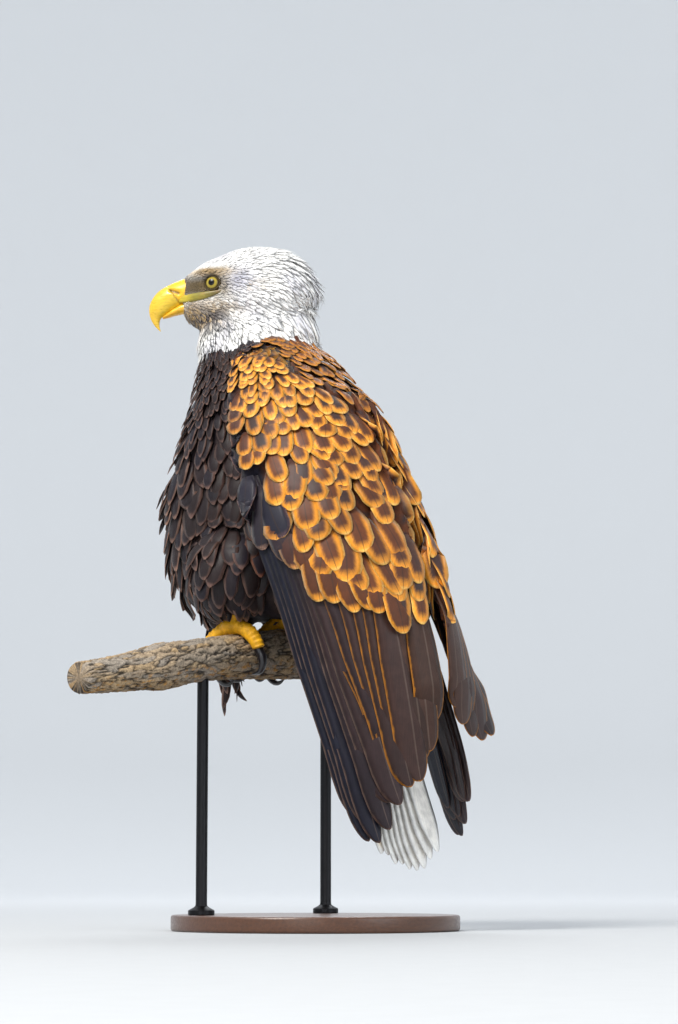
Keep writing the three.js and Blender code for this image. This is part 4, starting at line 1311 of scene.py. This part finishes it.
def build_lids(side, flip, centre, axis, material):
    """Lids round the eyeball: a rim of skin, lower under the brow, closest at the eye's two corners."""
    radius = EYE["radius"]
    ahead = unit(np.cross([0, 0, 1], axis)) * flip * -1
    upward = unit(np.cross(axis, ahead)) * flip * -1
    if upward[2] < 0:
        upward = -upward
    if ahead @ FORWARD < 0:
        ahead = -ahead
    rings = []
    for turn in turns(LID_STEPS):
        open_half = 8.7 + 0.9 * abs(math.cos(turn)) ** 3 - 1.1 * max(math.sin(turn), 0) ** 2
        spoke = ahead * math.cos(turn) + upward * math.sin(turn)
        ring = []
        for out, lift in LID_PROFILE:
            reach = open_half * out
            inner = math.sqrt(max(radius**2 - min(reach, radius * 0.98) ** 2, 0))
            ring.append(centre + (spoke * reach + axis * (inner + lift)) * MM)
        rings.append(ring)
    rings = np.array(rings)
    faces = ring_faces(LID_STEPS + 1, len(LID_PROFILE)) % (LID_STEPS * len(LID_PROFILE))
    obj = mesh_object(f"eyelids_{side}", rings.reshape(-1, 3), faces)
    outward(obj)
    finish_piece(obj, material, "cere")


# ---------- bill ----------
def bill_rings(stations, steps, count, keel):
    """Oval rings through the bill's stations, with a keeled top edge."""
    tops, bottoms, halves = (evenly([s[k] for s in stations], steps) for k in range(3))
    angle = turns(count)
    rings = []
    for top, bottom, half in zip(tops, bottoms, halves):
        high, low = head_point(*top), head_point(*bottom)
        centre, up = (high + low) / 2, (high - low) / 2
        across = np.sin(angle) * (1 - keel * np.clip(np.cos(angle), 0, 1) ** 2)
        rings.append(centre + up * np.cos(angle)[:, None] + LEFTWARD * half * MM * across[:, None])
    return np.array(rings)


def bill_material(name, roughness, coat):
    material, tree, shader, place = new_material(name)
    streaks = speckle(tree, stretched(tree, place, (60, 60, 260)), 2.4, 5.0, 0.6)
    cloud = speckle(tree, place, 70.0, 4.0)
    horn = toned(tree, attribute(tree, "Base")["Color"], streaks, 0.3, 0.7, 0.84, 1.1)
    feed(tree, shader, {
        "Base Color": blend(tree, ease(tree, cloud, 0.55, 0.8, 0.0, 0.35), horn, srgb(0.72, 0.42, 0.1)),
        "Roughness": ease(tree, streaks, 0.2, 0.8, roughness - 0.08, roughness + 0.12),
        "Coat Weight": coat, "Coat Roughness": 0.25,
        "Subsurface Weight": 0.08, "Subsurface Radius": (0.004, 0.002, 0.001),
    })
    bump(tree, shader, streaks, 0.25, 0.0004)
    return material


def part_of(obj, name, point, normal, keep_front):
    """A closed copy of what lies on one side of a plane."""
    copy = placed(name, obj.data.copy())
    copy.data.name = name
    work = bmesh.new()
    work.from_mesh(copy.data)
    whole = work.verts[:] + work.edges[:] + work.faces[:]
    cut = bmesh.ops.bisect_plane(
        work, geom=whole, plane_co=point, plane_no=normal, clear_inner=keep_front, clear_outer=not keep_front,
    )
    edges = [e for e in cut["geom_cut"] if isinstance(e, bmesh.types.BMEdge)]
    bmesh.ops.holes_fill(work, edges=edges)
    bmesh.ops.recalc_face_normals(work, faces=work.faces)
    work.to_mesh(copy.data)
    work.free()
    return copy


def bill_tint(rings, yellow, orange):
    """Yellow, turning orange over the curve of the hook and towards the cutting edge."""
    at = head_places(rings.reshape(-1, 3))
    front = smooth(at[:, 0], 58, 82) * 0.8 + smooth(-at[:, 1], 22, 48) * 0.45
    return rgba(mixed(spread(yellow, len(at)), orange, np.clip(front, 0, 1)))


def build_bill():
    yellow, orange = screen((0.95, 0.73, 0.10), (0.93, 0.55, 0.09))
    rings = bill_rings(UPPER_BILL, 76, 56, 0.12)
    at = head_places(rings.reshape(-1, 3))
    edge = np.array(CERE_EDGE, float)
    run = edge[1] - edge[0]
    from_edge = at[:, :2] - edge[0]
    ahead_of_cere = (from_edge[:, 0] * run[1] - from_edge[:, 1] * run[0]) / np.linalg.norm(run)
    front, back = np.array(NOSTRIL["front"], float), np.array(NOSTRIL["back"], float)
    t = np.clip(((at[:, :2] - front) @ (back - front)) / ((back - front) @ (back - front)), 0, 1)
    gap = np.linalg.norm(at[:, :2] - (front + t[:, None] * (back - front)), axis=1)
    dent = np.exp(-((gap / NOSTRIL["half"]) ** 2)) * NOSTRIL["depth"]
    groove = np.exp(-((ahead_of_cere / 0.8) ** 2)) * 0.45
    inward_by = np.sign(at[:, 2]) * (dent + groove)
    points = rings.reshape(-1, 3) - LEFTWARD * (inward_by * MM)[:, None]
    tint = bill_tint(rings, yellow, orange)
    # Painted shade: the nostril's opening is painted dark over its shallow dent.
    dark = np.exp(-((gap / (NOSTRIL["half"] * 0.8)) ** 2))
    tint[:, :3] = mixed(tint[:, :3], np.array(srgb(0.16, 0.1, 0.03)), dark)
    waxy_share = smooth(-ahead_of_cere, -0.5, 1.5) * (1 - dark)
    tint[:, :3] = mixed(tint[:, :3], np.array(srgb(0.84, 0.72, 0.16)), waxy_share * 0.8)
    seam = np.exp(-(((ahead_of_cere + 0.3) / 0.7) ** 2)) * smooth(-at[:, 1], 1, 6)
    tint[:, :3] = mixed(tint[:, :3], np.array(srgb(0.3, 0.2, 0.06)), 0.75 * seam)
    whole = loft("bill", points.reshape(rings.shape), tint=tint)
    top, foot = head_point(*CERE_EDGE[0]), head_point(*CERE_EDGE[1])
    normal = unit(np.cross(LEFTWARD, foot - top))
    if normal[2] > 0:
        normal = -normal
    horn = bill_material("bill horn", 0.3, 0.5)
    waxy = bill_material("cere", 0.45, 0.2)
    finish_piece(part_of(whole, "upper_bill", top, normal, True), horn, "bill", ["bill_upper"])
    finish_piece(part_of(whole, "bill_cere", top, normal, False), waxy, "cere", ["cere"])
    bpy.data.objects.remove(whole)
    lower = bill_rings(LOWER_BILL, 40, 44, 0.0)
    jaw = loft("lower_bill", lower, tint=bill_tint(lower, yellow * 0.9, orange * 0.8))
    finish_piece(jaw, horn, "bill", ["bill_lower"])
    for side, flip in SIDES.items():
        path = [head_point(a, b, c * flip) for (a, b, c), _ in GAPE]
        radii = [r * MM for _, r in GAPE]
        rings = tube_rings(path, radii, 24, 30, 0.34, LEFTWARD * flip)
        at = head_places(rings.reshape(-1, 3))
        front, olive, corner = screen((0.74, 0.66, 0.15), (0.5, 0.46, 0.12), (0.36, 0.3, 0.12))
        tint = mixed(spread(front, len(at)), olive, smooth(-at[:, 0], -40, -20))
        tint = mixed(tint, corner, smooth(-at[:, 0], -18, 8))
        tint = rgba(mixed(tint, corner * 0.6, 0.6 * smooth(-at[:, 1], 17.5, 21)))
        finish_piece(loft(f"gape_{side}", rings, tint), waxy, "cere")


# ---------- perch ----------
YAW, SLOPE = math.radians(PERCH["yaw"]), math.radians(PERCH["slope"])
ACROSS = np.array([math.cos(YAW), math.sin(YAW), 0])
AXIS = ACROSS * math.cos(SLOPE) + np.array([0, 0, math.sin(SLOPE)])
AHEAD = np.cross(ACROSS, [0, 0, 1])
UP = unit(np.cross(AXIS, AHEAD)) * (1 if np.cross(AXIS, AHEAD)[2] > 0 else -1)


def perch_line(along):
    """The branch's centre, in mm, at places along it."""
    along = np.atleast_1d(np.asarray(along, float))[:, None]
    wave = PERCH["wave"]
    return (
        np.array(PERCH["place"], float) + AXIS * along + UP * wave * np.sin(along / 58)
        + AHEAD * wave * np.sin(along / 41 + 1)
    )


def perch_radius(along):
    at, spread, height = PERCH["knot"]
    along = np.asarray(along, float)
    return PERCH["radius"] * (1 - PERCH["taper"] * along) + height * np.exp(-(((along - at) / spread) ** 2))


def round_perch(along, degrees, out):
    """A place beside the perch, in mm: along it, round it from the front over the top, and out."""
    a = np.radians(np.atleast_1d(degrees))[:, None]
    out = np.atleast_1d(out)[:, None]
    return perch_line(along) + UP * out * np.sin(a) + AHEAD * out * np.cos(a)


def bark_material():
    material, tree, shader, place = new_material("branch bark")
    fine = speckle(tree, place, 420.0, 6.0, 0.65)
    coarse = speckle(tree, place, 90.0, 5.0, 0.6)
    bark = toned(tree, attribute(tree, "Base")["Color"], fine, 0.3, 0.7, 0.6, 1.35)
    aged = blend(tree, ease(tree, coarse, 0.55, 0.75, 0.0, 0.5), bark, srgb(0.36, 0.28, 0.2))
    feed(tree, shader, {"Base Color": aged, "Roughness": 0.9})
    height = calc(tree, "ADD", calc(tree, "MULTIPLY", fine, 0.5), coarse)
    bump(tree, shader, height, 0.8, 0.0012)
    return material


def build_perch():
    steps, count = 250, 132
    along = np.linspace(-PERCH["right"], PERCH["left"], steps)
    angle = turns(count)
    centre = perch_line(along)
    radius = perch_radius(along)[:, None] + 0.8 * np.sin(2 * angle[None] + along[:, None] / 37)
    depth, cell, rough = np.zeros((3, steps, count))
    for i, k in product(range(steps), range(count)):
        sine, cosine = math.sin(angle[k]), math.cos(angle[k])
        spot = Vector((along[i] / 34, sine * 2.9, cosine * 2.9))
        gaps, seeds = noise.voronoi(spot + noise.noise_vector(spot * 1.9) * 0.55)
        depth[i, k] = gaps[1] - gaps[0]
        cell[i, k] = noise.noise(seeds[0] * 3.7)
        rough[i, k] = noise.fractal(Vector((along[i] / 9, sine * 6, cosine * 6)), 0.8, 2.0, 4)
    crack = 1 - smooth(depth, 0.0, 0.16)
    right, left = -PERCH["right"], -PERCH["left"]
    ends = smooth(along, right, right + 4) * smooth(-along, left, left + 4)
    radius = radius + (1.2 - 2.2 * crack + 1.0 * rough + 0.8 * cell) * ends[:, None]
    rings = centre[:, None] + radius[..., None] * (
        UP * np.sin(angle)[None, :, None] + AHEAD * np.cos(angle)[None, :, None]
    )
    grey, tan, ochre, dark = screen(
        (0.56, 0.52, 0.47), (0.66, 0.56, 0.42), (0.72, 0.50, 0.16), (0.13, 0.11, 0.10)
    )
    tint = mixed(spread(grey, steps * count), tan, smooth(cell.ravel(), -0.35, 0.4))
    under = np.tile(-np.sin(angle), steps)
    tint = mixed(tint, ochre, smooth(rough.ravel(), 0.15, 0.6) * smooth(under, -0.1, 0.6) * 0.8)
    # Darker in the cracks; painted shade darkens the underside of the branch.
    tint = mixed(tint, dark, np.clip(crack.ravel() * 0.92 + smooth(under, 0.5, 1) * 0.35, 0, 1))
    finish_piece(loft("branch", rings * MM, rgba(tint)), bark_material(), "bark", ["perch"])


# ---------- feet ----------
def talon_material():
    material, tree, shader, place = new_material("talon")
    streak = speckle(tree, stretched(tree, place, (120, 120, 120)), 2.0, 4.0)
    horn = blend(tree, streak, srgb(0.035, 0.035, 0.05), srgb(0.13, 0.12, 0.14))
    feed(tree, shader, {"Base Color": horn, "Roughness": 0.28, "Coat Weight": 0.4, "Coat Roughness": 0.15})
    bump(tree, shader, streak, 0.2, 0.0003)
    return material


def toe_line(along, flip, toe, start, stop, lift, steps):
    """Places round the perch from one angle to another, lifted off it, in mm."""
    begin, _, splay, _, _ = TOES[toe]
    turned = np.linspace(start, stop, steps)
    place = along - flip * splay * np.radians(np.abs(turned)) * PERCH["radius"]
    out = perch_radius(place) + evenly(lift, steps)
    return round_perch(place, begin - turned, out)


def off_perch(line):
    """Directions from the branch's centre out to places, in mm."""
    return unit(line - perch_line((line - np.array(PERCH["place"])) @ AXIS))


def ridged(rings, centre_line, pitch, height):
    """Raises a scute ridge across the outer half of a toe's rings at an even pitch."""
    run = np.concatenate([[0], np.cumsum(np.linalg.norm(np.diff(centre_line, axis=0), axis=1))])
    phase = (run / pitch) % 1
    ridge = np.clip(np.minimum(phase / 0.25, (1 - phase) / 0.75), 0, 1) - 0.5
    outward_by = unit(rings - centre_line[:, None])
    axis_gap = off_perch(centre_line)
    facing = smooth((outward_by * axis_gap[:, None]).sum(-1), -0.1, 0.6)
    return rings + outward_by * (ridge[:, None] * facing * height)[..., None]


def build_feet():
    scales, horn = skin_material("foot scales", 0.48, 0.0007, 1100, 0.72, 1.2), talon_material()
    for side, flip in SIDES.items():
        along = flip * FOOT_ALONG
        top = round_perch(along, 90, perch_radius(along) + 9)[0]
        ankle = top + np.array([TARSUS_TOP[0] * flip, TARSUS_TOP[1], TARSUS_TOP[2]])
        shank = [top - (0, 0, 4), (top + ankle) / 2, ankle + (0, 0, 6)]
        shank = tube_rings(shank, [10.5, 8.6, 9.4], 28, 30, above=(0, 1, 0))
        parts = [loft("shank", shank * MM)]
        bpy.ops.object.select_all(action="DESELECT")
        bpy.ops.mesh.primitive_uv_sphere_add(
            segments=28, ring_count=16, radius=13.5 * MM, location=top * MM, scale=(1, 1, 0.74),
        )
        bpy.ops.object.transform_apply(location=True, rotation=True, scale=True)
        parts.append(bpy.context.object)
        for toe, (_, sweep, _, r, talon) in TOES.items():
            line = toe_line(along, flip, toe, 0, sweep, [r + 1.6, r + 1.6, r + 1.4, r + 1.2], 64)
            radii = [r + 1.5, r, r * 1.04, r * 0.92, r * 0.86]
            parts.append(loft("toe", ridged_tube(line, radii) * MM))
            turn = math.copysign(math.degrees(talon / (PERCH["radius"] + 7)), sweep)
            claw = toe_line(along, flip, toe, sweep * 0.94, sweep + turn, [r - 0.5, r + 4, r + 3, 1.5], 30)
            girth = evenly([r * 0.6, r * 0.62, r * 0.5, r * 0.3, 0.4], 30)
            claw_rings = line_rings(claw, girth, 18, off_perch(claw))
            node = f"talon_{side}_{toe}"
            finish_piece(loft(f"{node}_horn", claw_rings * MM), horn, "talon", [node])
        foot = joined(parts)
        foot.name = foot.data.name = f"foot_{side}_scaled"
        apply_modifier(foot, "REMESH", mode="VOXEL", voxel_size=0.9 * MM)
        apply_modifier(foot, "SMOOTH", factor=0.5, iterations=2)
        height = read(foot.data.vertices, "co")[:, 2] / MM
        yellow, shadow, orange = screen((0.90, 0.66, 0.12), (0.45, 0.36, 0.26), (0.85, 0.42, 0.12))
        # Painted shade: deeper orange up the shank under the thigh feathers, and the shadow colour on the
        # toes low round the branch.
        tint = mixed(spread(yellow, len(height)), orange, smooth(height, 352, 385) * 0.6)
        paint(foot.data, "Base", rgba(mixed(tint, shadow, smooth(-height, -330, -300) * 0.6)))
        finish_piece(foot, scales, "foot_skin", [f"foot_{side}"])


def ridged_tube(line, radii):
    """A toe: a round tube whose outer half carries overlapping scutes."""
    radius = evenly(radii, len(line))
    radius[-3:] *= (0.93, 0.78, 0.5)
    return ridged(line_rings(line, radius, 26, off_perch(line)), line, 5.2, 1.5)


# ---------- stand ----------
def wood_material():
    material, tree, shader, place = new_material("stand wood")
    grain = speckle(tree, stretched(tree, place, (14, 170, 170)), 2.0, 6.0, 0.6)
    pores = speckle(tree, stretched(tree, place, (60, 900, 900)), 2.0, 3.0)
    wood = blend(tree, grain, srgb(0.20, 0.115, 0.07), srgb(0.40, 0.25, 0.155))
    wood = blend(tree, ease(tree, pores, 0.58, 0.7, 0.0, 0.5), wood, srgb(0.1, 0.06, 0.04))
    rough = ease(tree, grain, 0.3, 0.7, 0.42, 0.3)
    feed(tree, shader, {"Base Color": wood, "Roughness": rough, "Coat Weight": 0.35, "Coat Roughness": 0.2})
    bump(tree, shader, pores, 0.12, 0.0004)
    return material


def steel_material():
    material, tree, shader, place = new_material("stand metal")
    brushed = speckle(tree, stretched(tree, place, (900, 900, 24)), 2.0, 4.0)
    metal = blend(tree, brushed, srgb(0.10, 0.10, 0.105), srgb(0.2, 0.2, 0.21))
    rough = ease(tree, brushed, 0.2, 0.8, 0.28, 0.5)
    feed(tree, shader, {"Base Color": metal, "Roughness": rough, "Metallic": 0.9})
    bump(tree, shader, brushed, 0.1, 0.0002)
    return material


def crease(obj):
    """Smooth shading that keeps the turned edges sharp."""
    lone(obj)
    bpy.ops.object.shade_smooth_by_angle(angle=math.radians(35))


def build_stand():
    bpy.ops.object.select_all(action="DESELECT")
    radius, thick, bevel = (BASE[k] * MM for k in ("radius", "thick", "bevel"))
    bpy.ops.mesh.primitive_cylinder_add(vertices=144, radius=radius, depth=thick, location=(0, 0, thick / 2))
    base = bpy.context.object
    bpy.ops.object.transform_apply(location=True)
    base.name = base.data.name = "stand_base_turned"
    limit = math.radians(40)
    apply_modifier(base, "BEVEL", width=bevel * 0.8, segments=5, limit_method="ANGLE", angle_limit=limit)
    finish_piece(base, wood_material(), "stand_wood", ["stand_base"])
    crease(base)
    metal = steel_material()
    for side, along in ROD_ALONG.items():
        top = perch_line(along)[0]
        foot = BASE["thick"]
        height = top[2] - perch_radius(along) / math.cos(SLOPE) + 2.5 - foot
        collar, thin = ROD["collar"], ROD["radius"]
        profile = [
            (0.001, 0), (collar - 0.8, 0), (collar, 0.8), (collar, 5.2), (collar - 0.8, 6),
            (thin + 2.6, 8.6), (thin + 0.4, 10.4), (thin, 12.5), (thin, height - 0.5), (0.001, height),
        ]
        rings = [[(r * math.cos(a), r * math.sin(a), z) for a in turns(48)] for r, z in profile]
        rings = np.array(rings) + (top[0], top[1], foot)
        rod = loft(f"stand_rod_{side}_turned", rings * MM)
        finish_piece(rod, metal, "stand_metal", [f"stand_rod_{side}"])
        crease(rod)


# ---------- stage ----------
CAMERA = {"aim": (0, 0.031, 0.48), "azimuth": 120, "elevation": -8, "distance": 3.0, "lens": 90.9}
LIGHTS = {  # azimuth, elevation, distance, size, power, colour
    "key": (84, 44, 4.6, 1.8, 250, (1.0, 0.965, 0.91)),
    "fill": (172, 16, 4.8, 3.4, 50, (0.92, 0.96, 1.0)),
    "rim": (-60, 42, 4.4, 2.4, 105, (0.95, 0.97, 1.0)),
    "low": (112, 0, 3.6, 1.8, 10, (1.0, 0.98, 0.95)),
}
# The studio's floor and wall, turned round the stand: distances out and heights in metres.
BACKDROP = [(0, 0), (3.6, 0), (5.0, 0.1), (6.2, 0.55), (7.1, 1.4), (7.6, 2.6), (7.8, 4.2), (7.8, 6.5)]


def orbit(azimuth, elevation, distance):
    a, e = math.radians(azimuth), math.radians(elevation)
    back = Vector((math.sin(a) * math.cos(e), -math.cos(a) * math.cos(e), math.sin(e)))
    return Vector(CAMERA["aim"]) + back * distance, back


def build_stage():
    scene = bpy.context.scene
    paper, tree, shader, place = new_material("studio paper")
    fleck = speckle(tree, place, 30.0, 2.0)
    parts = add_node(tree, "ShaderNodeSeparateXYZ", {0: place}).outputs
    out = calc(tree, "SQRT", calc(tree, "ADD", calc(tree, "MULTIPLY", parts[0], parts[0]),
                                  calc(tree, "MULTIPLY", parts[1], parts[1])))
    # Painted light: the paper is darker near the stand, where the lamps light it most, and paler out on the
    # less lit wall.
    near = blend(tree, fleck, srgb(0.67, 0.68, 0.69), srgb(0.69, 0.70, 0.71))
    seen = blend(tree, ease(tree, out, 1.0, 6.5), near, srgb(0.88, 0.89, 0.90))
    feed(tree, shader, {"Base Color": seen, "Roughness": 0.9})
    profile = evenly(BACKDROP, 44)
    profile[:, 1] = np.maximum(profile[:, 1], 0)
    angle = turns(96)
    profile[:, 0] = np.maximum(profile[:, 0], 0.001)
    rings = [[(r * math.cos(a), r * math.sin(a), z) for a in angle] for r, z in profile]
    room = mesh_object("studio_backdrop", np.reshape(rings, (-1, 3)), ring_faces(len(profile), len(angle)))
    room.data.polygons.foreach_set("use_smooth", [True] * len(room.data.polygons))
    room.data.materials.append(paper)
    camera = bpy.data.objects.new("camera", bpy.data.cameras.new("camera"))
    scene.collection.objects.link(camera)
    place, back = orbit(CAMERA["azimuth"], CAMERA["elevation"], CAMERA["distance"])
    camera.location = place
    camera.rotation_euler = (-back).to_track_quat("-Z", "Y").to_euler()
    camera.data.lens = CAMERA["lens"]
    camera.data.sensor_width = 36
    camera.data.clip_end = 100
    scene.camera = camera
    for name, (azimuth, elevation, distance, size, power, colour) in LIGHTS.items():
        light = bpy.data.lights.new(name, "AREA")
        light.shape, light.size, light.energy, light.color = "DISK", size, power, colour
        lamp = bpy.data.objects.new(name, light)
        scene.collection.objects.link(lamp)
        lamp.location, back = orbit(azimuth, elevation, distance)
        lamp.rotation_euler = (-back).to_track_quat("-Z", "Y").to_euler()
    world = bpy.data.worlds.new("studio") if scene.world is None else scene.world
    scene.world = world
    world.use_nodes = True
    sky = world.node_tree.nodes["Background"]
    sky.inputs["Color"].default_value = (0.86, 0.9, 0.95, 1)
    sky.inputs["Strength"].default_value = 0.84
    scene.view_settings.view_transform = "Standard"


# ---------- add-on ----------
class EAGLE_OT_stage(bpy.types.Operator):
    """Sets up the floor, the camera and the soft studio light."""

    bl_idname = "eagle.stage"
    bl_label = "Stage"

    def execute(self, context):
        build_stage()
        return {"FINISHED"}


class EAGLE_OT_skin(bpy.types.Operator):
    """Makes one skin of head, neck, trunk, legs and wing bases."""

    bl_idname = "eagle.skin"
    bl_label = "Skin"

    def execute(self, context):
        build_skin()
        return {"FINISHED"}


class EAGLE_OT_contour(bpy.types.Operator):
    """Covers head, neck, trunk and thighs with contour feathers."""

    bl_idname = "eagle.contour"
    bl_label = "Contour feathers"

    def execute(self, context):
        build_contour()
        return {"FINISHED"}


class EAGLE_OT_coverts(bpy.types.Operator):
    """Covers both folded wings with fringed coverts."""

    bl_idname = "eagle.coverts"
    bl_label = "Wing coverts"

    def execute(self, context):
        build_coverts()
        return {"FINISHED"}


class EAGLE_OT_flight(bpy.types.Operator):
    """Lays the primaries and secondaries of both wings."""

    bl_idname = "eagle.flight"
    bl_label = "Flight feathers"

    def execute(self, context):
        build_flight()
        return {"FINISHED"}


class EAGLE_OT_tail(bpy.types.Operator):
    """Fans the white tail."""

    bl_idname = "eagle.tail"
    bl_label = "Tail"

    def execute(self, context):
        build_tail()
        return {"FINISHED"}


class EAGLE_OT_eyes(bpy.types.Operator):
    """Sets the eyes in their lids."""

    bl_idname = "eagle.eyes"
    bl_label = "Eyes and lids"

    def execute(self, context):
        build_eyes()
        return {"FINISHED"}


class EAGLE_OT_bill(bpy.types.Operator):
    """Shapes the bill, the cere and the gape."""

    bl_idname = "eagle.bill"
    bl_label = "Bill"

    def execute(self, context):
        build_bill()
        return {"FINISHED"}


class EAGLE_OT_feet(bpy.types.Operator):
    """Shapes the scaled feet and the talons."""

    bl_idname = "eagle.feet"
    bl_label = "Feet and talons"

    def execute(self, context):
        build_feet()
        return {"FINISHED"}


class EAGLE_OT_perch(bpy.types.Operator):
    """Covers the cut branch with bark."""

    bl_idname = "eagle.perch"
    bl_label = "Branch"

    def execute(self, context):
        build_perch()
        return {"FINISHED"}


class EAGLE_OT_stand(bpy.types.Operator):
    """Turns the display stand's base and rods."""

    bl_idname = "eagle.stand"
    bl_label = "Display stand"

    def execute(self, context):
        build_stand()
        return {"FINISHED"}


OPERATORS = (
    EAGLE_OT_stage, EAGLE_OT_skin, EAGLE_OT_contour, EAGLE_OT_coverts, EAGLE_OT_flight, EAGLE_OT_tail,
    EAGLE_OT_eyes, EAGLE_OT_bill, EAGLE_OT_feet, EAGLE_OT_perch, EAGLE_OT_stand,
)


class EAGLE_PT_panel(bpy.types.Panel):
    """Sizes, colours and the steps that build the eagle."""

    bl_label = "Perched Bald Eagle"
    bl_idname = "EAGLE_PT_panel"
    bl_space_type = "VIEW_3D"
    bl_region_type = "UI"
    bl_category = "Eagle"

    def draw(self, context):
        for group in (context.scene.eagle_sizes, context.scene.eagle_colours):
            box = self.layout.box()
            for name in group.__annotations__:
                box.prop(group, name)
        for step in OPERATORS:
            self.layout.operator(step.bl_idname)


CLASSES = (EagleSizes, EagleColours, *OPERATORS, EAGLE_PT_panel)


def register():
    for cls in CLASSES:
        bpy.utils.register_class(cls)
    bpy.types.Scene.eagle_sizes = bpy.props.PointerProperty(type=EagleSizes)
    bpy.types.Scene.eagle_colours = bpy.props.PointerProperty(type=EagleColours)


def unregister():
    del bpy.types.Scene.eagle_sizes
    del bpy.types.Scene.eagle_colours
    for cls in reversed(CLASSES):
        bpy.utils.unregister_class(cls)


def main():
    register()
    for step in OPERATORS:
        group, name = step.bl_idname.split(".")
        getattr(getattr(bpy.ops, group), name)()


if __name__ == "__main__":
    main()
